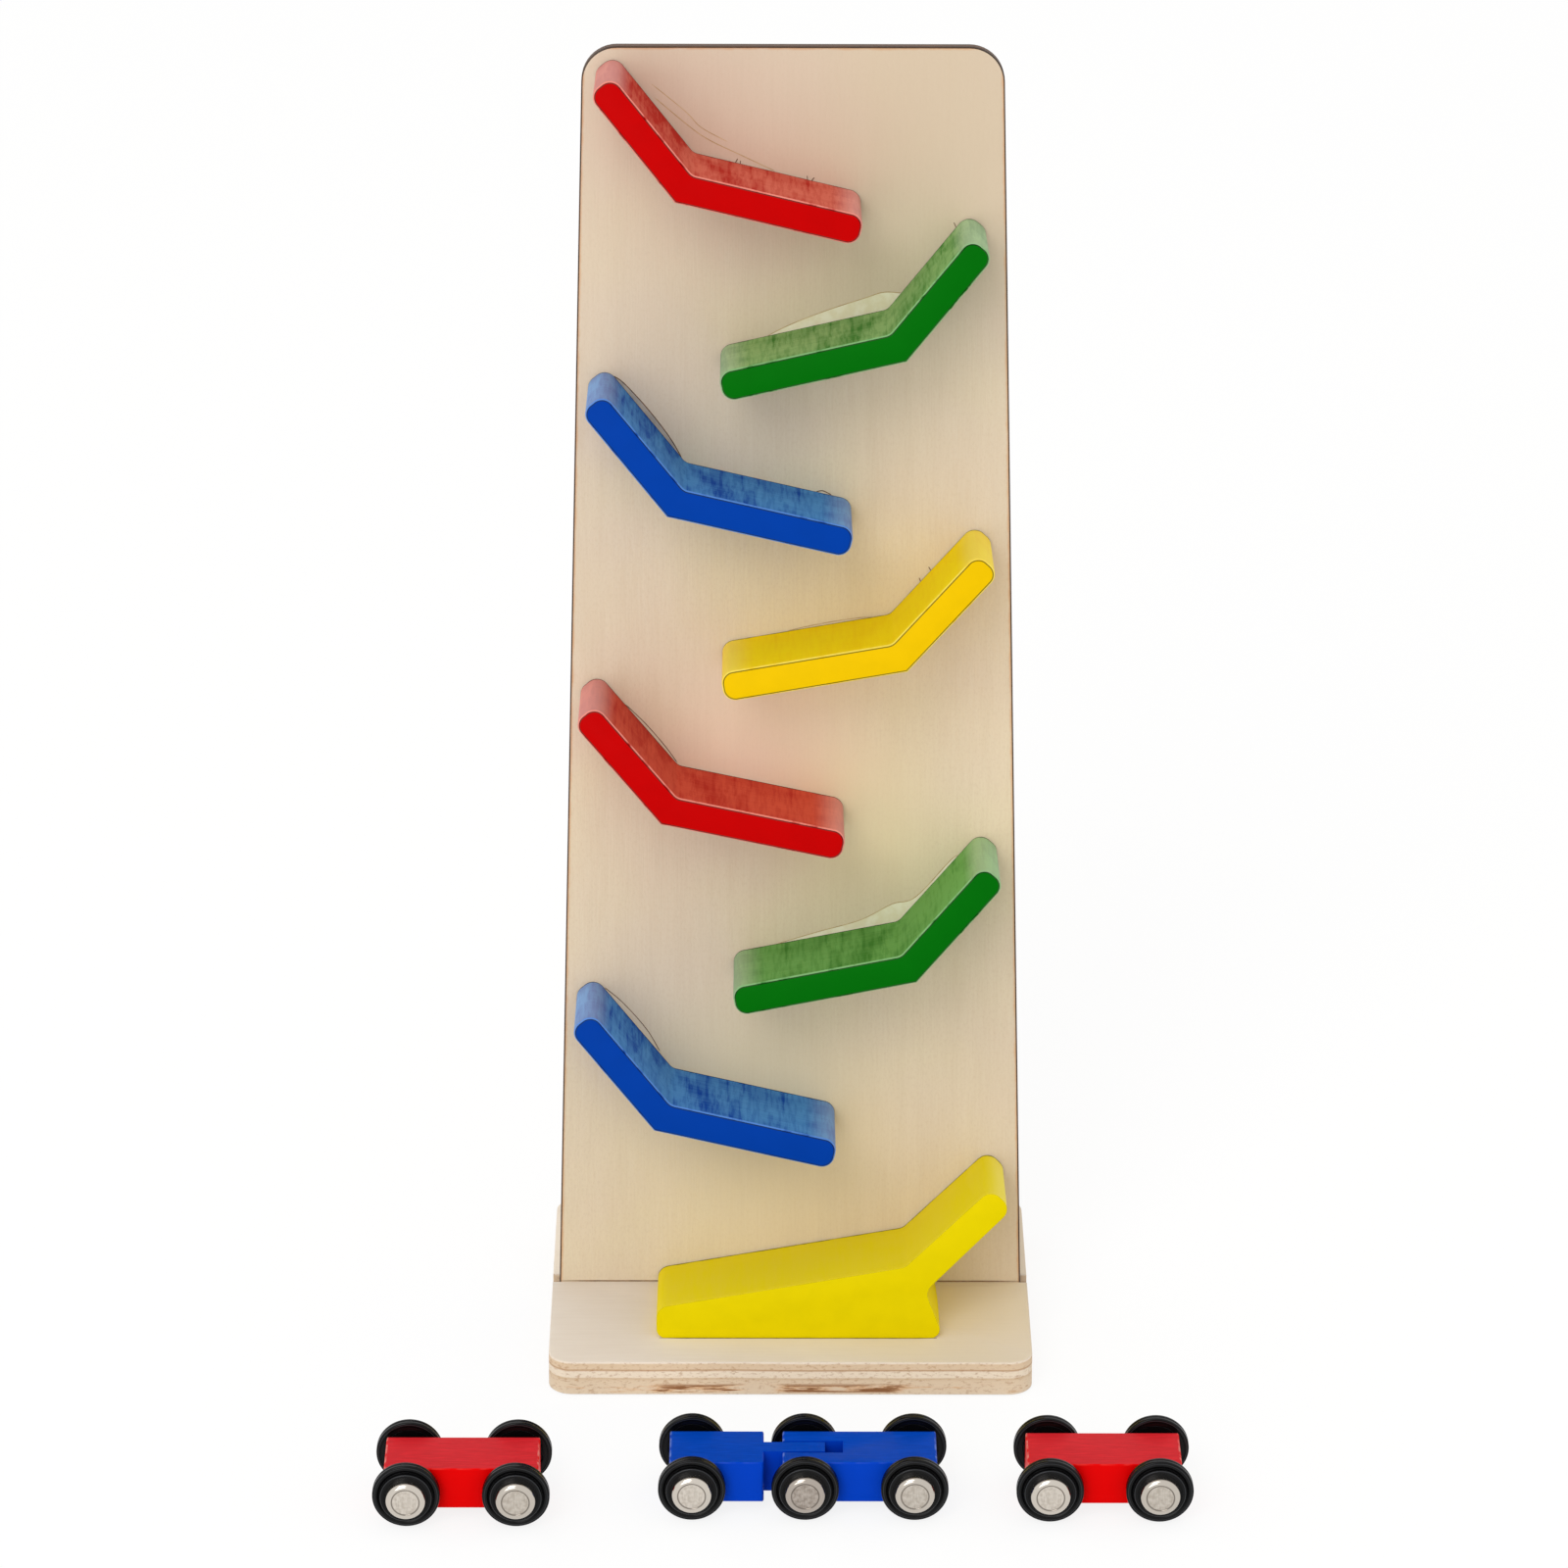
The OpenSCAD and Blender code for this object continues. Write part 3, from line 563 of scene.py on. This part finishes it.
def worn_paint(name, front, thin, dense, bare, edge, wear=1.0, ends=arm_ends, steep=0.0):
    """Paint that is thick on the front, rubbed thin on the running faces and bare at the rim."""
    made, tree, shader = finish_of(name, 0.42, 0.025)
    at = here(tree)
    xyz = split(tree, at)
    across = noise(tree, stretched(tree, at, (700.0, 700.0, 55.0)), 1.0, 4.0, 0.62)
    bars = noise(tree, stretched(tree, at, (150.0, 150.0, 14.0)), 1.0, 3.0, 0.6)
    along = noise(tree, stretched(tree, at, (70.0, 500.0, 1100.0)), 1.0, 3.0, 0.6)
    patch = use(tree, cloud, Place=at, Scale=60.0, Low=0.4, High=0.64)["Cloud"]
    cover = calc(tree, "MULTIPLY_ADD", step(tree, across, 0.45, 0.58), 0.3, times(tree, patch, 0.3))
    cover = calc(tree, "MULTIPLY_ADD", step(tree, bars, 0.5, 0.58), 0.36, cover)
    cover = calc(tree, "MULTIPLY_ADD", step(tree, up_steep(tree, xyz[0], xyz[1]), 2 * MM, 8 * MM), steep, cover)
    cover = calc(tree, "MULTIPLY_ADD", step(tree, along, 0.42, 0.7), 0.22, cover, clamp=True)
    rubbed = blend(tree, cover, srgb(*thin), srgb(*dense))
    dirt = use(tree, specks, Place=at, Scale=150.0, Size=0.03)["Specks"]
    rubbed = blend(tree, times(tree, dirt, 0.5), rubbed, srgb(*[0.35 * c for c in dense]))
    hidden = srgb(*[0.5 * (a + b) for a, b in zip(front, dense)])
    sides = blend(tree, mark(tree, "run"), hidden, rubbed)
    pale = times(tree, ends(tree, xyz[0], xyz[1]), 0.42 * wear)
    sides = blend(tree, pale, sides, srgb(*bare))
    ragged = calc(tree, "MULTIPLY_ADD", noise(tree, at, 240.0, 3.0), -0.0016, xyz[2])
    seam = without(tree, step(tree, ragged, -0.0005, 0.0003))
    sides = blend(tree, times(tree, seam, 0.85), sides, srgb(*[0.32 * c + 12 for c in dense]))
    tone = use(tree, cloud, Place=at, Scale=120.0, Low=0.3, High=0.7)["Cloud"]
    face = blend(tree, times(tree, tone, 0.3), srgb(*front), srgb(*[0.94 * c for c in front]))
    colour = blend(tree, mark(tree, "front"), sides, face)
    chipped = times(tree, mark(tree, "rim"), step(tree, noise(tree, at, 200.0, 3.0), 0.3, 0.5))
    colour = blend(tree, times(tree, chipped, 0.85), colour, srgb(*edge))
    colour = blend(tree, times(tree, mark(tree, "line"), 0.9), colour, srgb(*[0.45 * c for c in front]))
    link(tree, colour, shader.inputs["Base Color"])
    link(tree, calc(tree, "MULTIPLY_ADD", mark(tree, "run"), 0.2, 0.4), shader.inputs["Roughness"])
    bump(tree, shader, blend(tree, 0.5, across, along), 0.08, 0.0002)
    return made


paints = {
    "red": worn_paint("red_ramp_paint", (190, 0, 1), (214, 106, 86), (180, 34, 24), (240, 200, 190),
                      (236, 146, 130), steep=0.35),
    "red_lower": worn_paint("red_lower_paint", (190, 0, 1), (212, 84, 62), (184, 44, 32), (240, 200, 190),
                            (236, 146, 130)),
    "green": worn_paint("green_ramp_paint", (1, 104, 7), (146, 187, 115), (64, 128, 46), (212, 226, 198),
                        (136, 188, 126), steep=0.2),
    "green_lower": worn_paint("green_lower_paint", (1, 104, 7), (110, 171, 87), (62, 126, 44), (212, 226, 198),
                              (136, 188, 126), steep=-0.2),
    "blue": worn_paint("blue_ramp_paint", (1, 60, 160), (82, 148, 210), (0, 70, 168), (196, 210, 230),
                       (92, 142, 218), 0.75),
    "yellow": worn_paint("yellow_ramp_paint", (233, 190, 1), (255, 222, 6), (250, 210, 0), (254, 238, 150),
                         (246, 224, 96), 0.7),
    "foot": worn_paint("yellow_foot_paint", (230, 209, 1), (240, 217, 42), (239, 217, 12), (250, 240, 170),
                       (252, 232, 64), 0.6, foot_end),
}
print("paints:", sorted(paints))

# %% [markdown]
# ## Placing the ramps
# Seven ramps hang on the panel in turn, left and right, each with its own small listed turn.
# The eighth stands on the base. Each copy's frame has x along the running arm and z out
# of the panel, so paint streaks run across the bar as the wheels rubbed it.

# %% Ramps
TOP_GAP, LOW_GAP, MARGIN_LEFT, MARGIN_RIGHT = 34.6, 75.4, 4.6, 7.0
HAND = [(1.2, 0.6, 0), (0.6, 0.4, 0.1), (0.7, 0, 0.7), (-2.4, 0.1, 1.3), (-0.4, -0.6, 1.4),
        (-1.1, -0.5, -0.5), (0.6, 0, 0)]
RAMPS = ["red_upper", "green_upper", "blue_upper", "yellow_upper", "red_lower", "green_lower", "blue_lower"]


def ramp_place(i):
    """Sideways place, height and slope of hung ramp i on the panel, in millimetres and degrees."""
    turn, inward, lift = HAND[i]
    tall = PANEL_H / MM
    v = tall - TOP_GAP - i * (tall - TOP_GAP - LOW_GAP) / 6 + lift
    slope = SLOPE + turn
    a = math.radians(slope + BEND)
    reach = (STEEP_L - END_R) * math.cos(a) + (BAR_T - END_R) * math.sin(a) + END_R
    half = PANEL_W / 2 / MM - PANEL_TAPER / 2 / PANEL_H * v
    side = -1 if i % 2 == 0 else 1
    return side, side * (half - (MARGIN_LEFT if side < 0 else MARGIN_RIGHT) - inward - reach), v, slope


def on_front(p):
    return p.z > (DEPTH - 0.005) * MM


def on_foot_front(p):
    """The front's outline without the edge that stands on the base."""
    return on_front(p) and p.y < 5.3 * MM


def ramp_frame(i):
    """x along the running arm, z out of the panel; on the right it is turned over, so y points down."""
    side, u, v, slope = ramp_place(i)
    turn = Matrix.Rotation(math.radians(-slope if side < 0 else 180 + slope), 4, "Z")
    return panel_frame @ Matrix.Translation((u * MM, v * MM, 0)) @ turn


for i, name in enumerate(RAMPS):
    colour = name.split("_")[0]
    paint = paints.get(name, paints[colour])
    softened("ramp_" + name, ramp_frame(i), 0.75 * MM, on_front, paint, 3)
foot_frame = panel_frame @ Matrix.Rotation(math.radians(180), 4, "Z")
softened("ramp_yellow_foot", foot_frame, 0.75 * MM, on_foot_front, paints["foot"], 3)

# %% [markdown]
# ## Dried glue, splinters, a seam and a painted shadow
# Where the ramps meet the panel, glue has been wiped and has dried: a pale film with a thin brown
# edge above the two green ramps, a grey smear at a blue one and a few hair-thin splinters. A dark
# seam lies at the panel, and a dark olive strip of painted shadow lies on the base under the foot
# ramp. Each is a flat outline a few hundredths of a millimetre off the wood. All but the seam and
# the strip are drawn in millimetres along the ramp's two arms.

# %% Glue, splinters, a seam and a painted shadow
def arm_point(i, s, h):
    """On the panel at ramp i: s along the running arm (below zero, up the steep one), h off its face."""
    x, y = (s, h) if s >= 0 else (s * BEND_X + h * BEND_Y, h * BEND_X - s * BEND_Y)
    return Vector((x, -ramp_place(i)[0] * y))


def curve(points, n=6):
    """A smooth way through points (Catmull-Rom)."""
    ends = [points[0]] + points + [points[-1]]
    way = []
    for a, b, c, d in zip(ends, ends[1:], ends[2:], ends[3:]):
        for t in (k / n for k in range(n)):
            turn = (2 * a - 5 * b + 4 * c - d) * t ** 2 + (3 * b - a - 3 * c + d) * t ** 3
            way.append(0.5 * (2 * b + (c - a) * t + turn))
    return way + [points[-1]]


def straight(x0, x1, y, n):
    """A way in n equal steps from x0 to x1."""
    return [Vector((x0 + (x1 - x0) * k / n, y)) for k in range(n + 1)]


def flat_piece(name, local, points, faces, height, material):
    """A flat outline that lies on the tower's wood."""
    mesh = bpy.data.meshes.new(name)
    mesh.from_pydata([(p.x * MM, p.y * MM, height * MM) for p in points], [], faces)
    mesh.update()
    if mesh.polygons[0].normal.z < 0:
        mesh.flip_normals()
    mesh.materials.append(material)
    piece = bpy.data.objects.new(name, mesh)
    scene.collection.objects.link(piece)
    piece.matrix_world = local
    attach(piece, frame["nodes"]["back_panel"]["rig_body"])


def ribbon(name, local, way, width, material):
    """A thin strip along a way, narrower at both ends."""
    points = []
    for k, p in enumerate(way):
        along = (way[min(k + 1, len(way) - 1)] - way[max(k - 1, 0)]).normalized()
        half = Vector((-along.y, along.x)) * width / 2 * (1 if 0 < k < len(way) - 1 else 0.3)
        points += [p + half, p - half]
    faces = [(2 * k, 2 * k + 1, 2 * k + 3, 2 * k + 2) for k in range(len(way) - 1)]
    flat_piece(name, local, points, faces, 0.06, material)


def dried(name, tone, other):
    """A dull finish in two cloudy tones."""
    made, tree, shader = finish_of(name, 0.4, 0.2)
    patchy = use(tree, cloud, Place=here(tree), Scale=240.0, Low=0.35, High=0.65)["Cloud"]
    link(tree, blend(tree, patchy, srgb(*tone), srgb(*other)), shader.inputs["Base Color"])
    return made


film = dried("glue_film", (240, 232, 208), (232, 221, 190))
edge = dried("glue_edge", (182, 152, 106), (206, 182, 140))
grime = dried("grey_smear", (158, 150, 142), (184, 172, 156))
dark = dried("splinter", (70, 48, 36), (120, 76, 50))
FILMS = [("green_upper", film, edge, [(40, 0), (34, 1.6), (26, 3.1), (16, 4.4), (6, 5.3), (0, 5.8), (-7, 0)]),
         ("green_lower", film, edge, [(41, 0), (27, 1.5), (12.4, 2.8), (1, 6.2), (-10, 1.2), (-27, 0.8),
                                      (-30, 0)]),
         ("blue_upper", grime, dark, [(-2, 0), (-10, 1.3), (-22, 1.7), (-33, 1.1), (-37, 0)])]
for name, fill, outline, marks in FILMS:
    i = RAMPS.index(name)
    way = curve([arm_point(i, *m) for m in marks])
    inside = way + ([Vector((0, 0))] if marks[0][0] > 0 else [])
    flat_piece("glue_film_" + name, ramp_frame(i), inside, [tuple(range(len(inside)))], 0.04, fill)
    ribbon("glue_edge_" + name, ramp_frame(i), way, 0.3, outline)
LINES = [("red_upper", edge, 0.3, [(-22, 1.4), (-8, 4.2), (4, 5.2), (16, 2.6), (27, 0.3)]),
         ("red_upper", edge, 0.25, [(-26, 3.4), (-12, 6.4), (0.5, 8.6), (10, 6)]),
         ("yellow_upper", edge, 0.3, [(34, 0.1), (26, 0.6), (14, 0.7), (6, 0.2)]),
         ("red_lower", dark, 0.25, [(-27, 0.1), (-18, 0.9), (-8, 0.9), (-1, 0.3)]),
         ("blue_lower", dark, 0.25, [(-36, 0.2), (-28, 1.6), (-16, 1.9), (-7, 0.4)]),
         ("red_upper", dark, 0.3, [(14, 0), (14.4, 1.4)]), ("red_upper", dark, 0.25, [(15.6, 0), (15.4, 1.0)]),
         ("red_upper", dark, 0.25, [(38, 0), (37.6, 1.2)]), ("red_upper", dark, 0.3, [(39.4, 0), (40, 1.2)]),
         ("green_upper", dark, 0.25, [(-35, 0), (-35.8, 1.6)]),
         ("yellow_upper", dark, 0.3, [(-15, 0), (-15.6, 1.2)]),
         ("yellow_upper", dark, 0.3, [(-20, 0), (-20.4, 1.4)]),
         ("blue_upper", dark, 0.3, [(44, 0), (46, 0.8), (49, 0.1)])]
for k, (name, tone, width, marks) in enumerate(LINES):
    i = RAMPS.index(name)
    ribbon(f"glue_line_{k}_{name}", ramp_frame(i), curve([arm_point(i, *m) for m in marks]), width, tone)
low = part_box("ramp_yellow_foot")[0]
foot = frame["nodes"]["ramp_yellow_foot"].data
toes = [v.co for v in foot.vertices if v.co.z < BASE_T + 0.2 * MM and v.co.y < low.y + 8 * MM]
toe_y = min(p.y for p in toes) / MM - 0.1
ends = [min(p.x for p in toes) / MM, max(p.x for p in toes) / MM]
# Painted shadow: a dark olive strip on the base stands in for the contact shadow under the foot ramp's front edge.
foot_shadow_tone = dried("foot_contact_shadow", (118, 98, 8), (150, 128, 16))
ribbon("foot_contact_shadow", Matrix.Translation((0, 0, BASE_T)), straight(*ends, toe_y, 12), 0.9, foot_shadow_tone)
seam = dried("panel_seam", (104, 72, 48), (142, 104, 74))
reach = PANEL_W / 2 / MM - 0.5
ribbon("panel_seam", panel_frame, straight(-reach, reach, 0.2, 16), 0.36, seam)
print("films:", len(FILMS), "lines:", len(LINES), "foot shadow mm:", [round(v, 1) for v in ends + [toe_y]])

# %% [markdown]
# ## The vehicles' bodies
# The bodies are small sawn blocks dipped in bright paint. The top takes a faint saw grain, and
# the ends, where the fibres stop, stay thin and show bare wood at the rims. A value on each face
# says how far its paint is rubbed off, and along the top edges it adds a faint painted highlight.

# %% Body paint
def dipped_paint(name, side, top, bare):
    """Bright body paint with a scored top and chipped rims."""
    made, tree, shader = finish_of(name, 0.4, 0.035)
    at = here(tree)
    grain = use(tree, fibre, Place=at, Stretch=(70.0, 1100.0, 1100.0))
    slant = add(tree, "ShaderNodeMapping", Vector=at, Rotation=(0, 0, 0.45), Scale=(120.0, 1500.0, 300.0))
    saw = noise(tree, slant.outputs[0], 1.0, 3.0, 0.6)
    lid = blend(tree, times(tree, grain["Fibre"], 0.35), srgb(*top), srgb(*[0.9 * c for c in top]))
    scored = srgb(*[min(255, 1.12 * c + 4) for c in top])
    lid = blend(tree, times(tree, step(tree, saw, 0.48, 0.6), 0.4), lid, scored)
    colour = blend(tree, mark(tree, "front"), srgb(*side), lid)
    chip = times(tree, mark(tree, "rim"), step(tree, noise(tree, at, 300.0, 3.0), 0.42, 0.62))
    colour = blend(tree, times(tree, chip, 0.4), colour, srgb(*bare))
    link(tree, colour, shader.inputs["Base Color"])
    bump(tree, shader, grain["Fibre"], 0.1, 0.0002)
    return made


car_paint = dipped_paint("red_body_paint", (228, 1, 2), (208, 36, 44), (240, 190, 176))
truck_paint = dipped_paint("blue_body_paint", (1, 64, 194), (1, 68, 180), (150, 176, 226))


def body_ends(node, material):
    """A softened body, rubbed bare at its ends, with a faint painted highlight along its top edges."""
    low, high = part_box(node)
    centre = (low + high) / 2
    half = (high.x - low.x) / 2
    local = Matrix.Translation(centre)
    crown = (high.z - low.z) / 2 - 1e-5

    def ends_and_crown(p):
        return abs(abs(p.x) - half) < 1e-5 or p.z > crown

    piece = softened(node, local, 0.2 * MM, ends_and_crown, material, 2)
    values = piece.data.attributes["rim"].data
    # Along the top edges the bevels take a faint pale line, a painted highlight; at the ends the rims are rubbed to
    # bare wood.
    for f in piece.data.polygons:
        if abs(f.center.x) < half - 0.9 * MM:
            values[f.index].value = 0.1 if 0.3 < f.normal.z < 0.95 else 0.0
        elif abs(f.normal.x) < 0.97:
            values[f.index].value = 1.0


for node in ("red_a_body", "red_b_body"):
    body_ends(node, car_paint)
for node in ("truck_tractor", "truck_trailer"):
    body_ends(node, truck_paint)

# %% [markdown]
# ## Wheels
# The wheels are turned black plastic: round beads on the tread, a step down to a groove, a raised
# hub, and one more fine groove on the inner side. A lathe is the natural way: half a profile, spun
# in ninety-six steps, smooth along the round and crisp where the profile turns sharply.

# %% Lathe and wheels
def fillet(corner, a, b, r, n=4):
    """Points of a round corner between the directions to a and to b."""
    c, pa, pb = Vector(corner), Vector(a), Vector(b)
    da, db = (pa - c).normalized(), (pb - c).normalized()
    p0, p1 = c + da * r, c + db * r
    return [tuple((1 - t) ** 2 * p0 + 2 * t * (1 - t) * c + t * t * p1) for t in (k / n for k in range(n + 1))]


def lathe(name, profile, turns=96):
    """A profile of radii and heights in millimetres, spun round z."""
    rows = [[(r * MM * math.cos(2 * math.pi * k / turns), r * MM * math.sin(2 * math.pi * k / turns), z * MM)
             for k in range(turns)] if r > 0 else [(0, 0, z * MM)] for r, z in profile]
    points, faces, starts = [], [], []
    for row in rows:
        starts.append(len(points))
        points += row
    for j in range(len(rows) - 1):
        for k in range(turns):
            q = (k + 1) % turns
            a, b = starts[j], starts[j + 1]
            if len(rows[j]) == 1:
                faces.append((a, b + q, b + k))
            elif len(rows[j + 1]) == 1:
                faces.append((a + k, a + q, b))
            else:
                faces.append((a + k, a + q, b + q, b + k))
    mesh = bpy.data.meshes.new(name)
    mesh.from_pydata(points, [], faces)
    mesh.update()
    bm = bmesh.new()
    bm.from_mesh(mesh)
    bmesh.ops.recalc_face_normals(bm, faces=bm.faces)
    bm.to_mesh(mesh)
    bm.free()
    for f in mesh.polygons:
        f.use_smooth = True
    mesh.set_sharp_from_angle(angle=math.radians(32))
    return mesh


WHEEL_R, RIM_W, HUB_H, HUB_R, BEAD, BORE_R = 10.8, 3.2, 1.3, 8.3, 0.5, 1.52
TRACK, BODY_W, SIDE_GAP = 29.6, 21.8, 0.4
BOSS = TRACK / 2 - RIM_W / 2 - BODY_W / 2 - SIDE_GAP
H = RIM_W / 2
TOP = H + HUB_H
RO = WHEEL_R - BEAD


def bead(centre, start, end, n=7):
    """Part of a tread bead's round section, from one angle to the other."""
    return [(RO + BEAD * math.cos(math.radians(start + (end - start) * k / n)),
             centre + BEAD * math.sin(math.radians(start + (end - start) * k / n))) for k in range(n + 1)]


inner_side = [(BORE_R, -H - BOSS)] + fillet((4, -H - BOSS), (BORE_R, -H - BOSS), (4, -H), 0.3) + [
    (4, 0.5 - H), (HUB_R - 0.6, 0.5 - H), (HUB_R, -H), (9.3, -H), (9.42, 0.3 - H), (9.74, 0.3 - H), (9.86, -H)]
tread = bead(BEAD - H, -90, 0) + bead(-BEAD, 0, 82) + bead(BEAD, -82, 0) + bead(H - BEAD, 0, 90)
groove = [(HUB_R + 1.0, H), (HUB_R + 0.45, H - 0.36), (HUB_R + 0.1, H - 0.4)] + fillet(
    (HUB_R, H - 0.4), (HUB_R + 0.2, H - 0.4), (HUB_R, H), 0.09, 2)
hub = fillet((HUB_R, TOP), (HUB_R, H), (HUB_R - 1, TOP), 0.5) + [
    (7.15, TOP), (7.05, TOP - 0.12), (6.8, TOP - 0.12), (6.7, TOP), (BORE_R, TOP), (BORE_R, -H - BOSS)]
wheel_profile = inner_side + tread + groove + hub
black, tree, shader = finish_of("black_wheel", 0.2, 0.16)
at = here(tree)
dust = use(tree, cloud, Place=at, Scale=160.0, Low=0.45, High=0.8)["Cloud"]
turned = noise(tree, at, 900.0, 2.0)
xyz = split(tree, at)
from_axle = from_axis(tree, xyz)
sheen = [near(tree, from_axle, r * MM, 0.05 * MM, 0.2 * MM) for r in (HUB_R - 0.2, WHEEL_R - 0.75)]
colour = blend(tree, times(tree, dust, 0.35), srgb(8, 8, 9), srgb(20, 20, 22))
colour = blend(tree, times(tree, calc(tree, "MAXIMUM", *sheen), 0.5), colour, srgb(62, 64, 68))
link(tree, colour, shader.inputs["Base Color"])
link(tree, calc(tree, "MULTIPLY_ADD", dust, 0.14, 0.18), shader.inputs["Roughness"])
bump(tree, shader, turned, 0.04, 0.0001)
wheel_mesh = lathe("black_wheel", wheel_profile)
wheel_mesh.materials.append(black)


def outward(far, x, y, z):
    """A frame on an axle's end: z points away from the body."""
    return Matrix.Translation((x, y, z)) @ Matrix.Rotation(math.radians(-90 if far else 90), 4, "X")


def on_axles(kind, mesh_for, top_z):
    """Put a turned mesh in place of every wheel or cap."""
    count = 0
    for node, solid in frame["nodes"].items():
        if f"_{kind}_" not in node:
            continue
        low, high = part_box(node)
        far = node.endswith("_far")
        y = high.y - top_z * MM if far else low.y + top_z * MM
        piece = bpy.data.objects.new(node + "_turned", mesh_for(node))
        scene.collection.objects.link(piece)
        piece.matrix_world = outward(far, (low.x + high.x) / 2, y, (low.z + high.z) / 2)
        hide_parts(node)
        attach(piece, solid["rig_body"])
        count += 1
    print(kind, "pieces:", count)


on_axles("wheel", lambda node: wheel_mesh, TOP)

# %% [markdown]
# ## Nickel caps
# A pressed metal cap closes each axle: a short wall, a polished round shoulder, and a flat face
# that is brushed and slightly sunk. The material tells them apart by the height and the distance
# from the middle, and gives the face a rougher, cloudy finish and the shoulder a mirror polish.
# It also paints light onto the cap: a bright painted reflection on the wall, a dark painted
# reflection where the shoulder rolls over, and a dark ring of painted shade round the face.

# %% Caps
CAP_R, CAP_H = 6.35, 3.0
FACE_R, WALL_H = 4.6, 1.75
ROLL_R, ROLL_H = CAP_R - FACE_R, CAP_H - WALL_H
shoulder = [(FACE_R + ROLL_R * math.cos(math.radians(a)), WALL_H + ROLL_H * math.sin(math.radians(a)))
            for a in range(0, 91, 9)]
sunk_face = [(FACE_R - 0.12, CAP_H), (FACE_R - 0.3, CAP_H - 0.16), (FACE_R - 0.7, CAP_H - 0.16),
             (2.2, CAP_H - 0.12), (0, CAP_H - 0.1)]
cap_profile = [(BORE_R, 1.5), (BORE_R, 0), (CAP_R, 0)] + shoulder + sunk_face


def nickel(name, bright, dull, shift):
    """Pressed nickel: a brushed face in two tones, a dark ring of painted shade round it, a polished shoulder with
    a dark painted reflection, and a wall painted bright as a reflection.
    """
    made, tree, shader = finish_of(name, 0.2, 0.5, Metallic=1.0)
    at = add(tree, "ShaderNodeMapping", Vector=here(tree), Location=(shift, 0, 0)).outputs[0]
    xyz = split(tree, here(tree))
    away = from_axis(tree, xyz)
    flat = without(tree, step(tree, away, (FACE_R - 0.35) * MM, (FACE_R - 0.15) * MM))
    stain = use(tree, cloud, Place=at, Scale=700.0, Low=0.35, High=0.7)["Cloud"]
    brushed = noise(tree, stretched(tree, at, (2600.0, 340.0, 340.0)), 1.0, 3.0, 0.6)
    face = blend(tree, stain, srgb(*bright), srgb(*dull))
    lines = times(tree, step(tree, brushed, 0.45, 0.65), 0.35)
    face = blend(tree, lines, face, srgb(*[0.87 * c for c in dull]))
    # Painted shade: a dark ring in the groove round the face.
    groove_shade_ring = near(tree, away, (FACE_R - 0.2) * MM, 0.12 * MM, 0.32 * MM)
    # Painted reflection: a dark band where the shoulder rolls over.
    roll = times(tree, step(tree, xyz[2], (WALL_H - 0.1) * MM, (WALL_H + 0.15) * MM),
                without(tree, step(tree, xyz[2], (WALL_H + 0.35) * MM, (WALL_H + 0.6) * MM)))
    # Painted reflection: the wall below the shoulder is painted brighter than the shoulder.
    above = step(tree, xyz[2], (WALL_H - 0.1) * MM, (WALL_H + 0.1) * MM)
    shell = blend(tree, above, srgb(236, 230, 223), srgb(*[0.96 * c for c in bright]))
    shell = blend(tree, times(tree, roll, 0.75), shell, srgb(104, 94, 86))
    shell = blend(tree, flat, shell, face)
    link(tree, blend(tree, times(tree, groove_shade_ring, 0.75), shell, srgb(98, 89, 81)), shader.inputs["Base Color"])
    haze = calc(tree, "MULTIPLY_ADD", stain, 0.08, 0.1)
    link(tree, calc(tree, "MULTIPLY_ADD", flat, 0.3, haze), shader.inputs["Roughness"])
    bump(tree, shader, times(tree, brushed, flat), 0.12, 0.0001)
    return made


tones = [nickel("nickel_bright", (214, 206, 195), (194, 185, 173), 0.0),
         nickel("nickel_mid", (204, 196, 185), (182, 173, 161), 0.03),
         nickel("nickel_dull", (184, 174, 164), (148, 137, 127), 0.07)]
cap_meshes = []
for tone in tones:
    mesh = lathe(tone.name, cap_profile)
    mesh.materials.append(tone)
    cap_meshes.append(mesh)
on_axles("cap", lambda node: cap_meshes[2 if "_mid_" in node else ("_right_" in node)], CAP_H)

# %% [markdown]
# ## Axles and screws
# Little of these is seen: axle ends between wheel and body, and screw heads on the panel's back
# and under the base. They stay as the measured solids and get a drawn-steel finish.

# %% Steel
steel, tree, shader = finish_of("drawn_steel", 0.32, 0.5, Metallic=1.0)
at = here(tree)
drawn = noise(tree, stretched(tree, at, (900.0, 120.0, 900.0)), 1.0, 3.0)
link(tree, blend(tree, drawn, srgb(176, 172, 164), srgb(206, 202, 196)), shader.inputs["Base Color"])
link(tree, calc(tree, "MULTIPLY_ADD", drawn, 0.2, 0.22), shader.inputs["Roughness"])
bare = [n for n in frame["nodes"] if "_axle_" in n or n.endswith("screws")]
for node in bare:
    mesh = frame["nodes"][node].data
    mesh.materials.clear()
    mesh.materials.append(steel)
print("steel pieces:", len(bare))

# %% [markdown]
# ## Finish
# The finished model's bounds are measured against the solids', and how far it reaches beyond them is
# printed, so that a piece that has grown is seen at once.

# %% Sizes and finish
shown_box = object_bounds()
growth = [max(solid_box[0][k] - shown_box[0][k], shown_box[1][k] - solid_box[1][k]) for k in range(3)]
print("grown by mm:", [round(g / MM, 2) for g in growth])
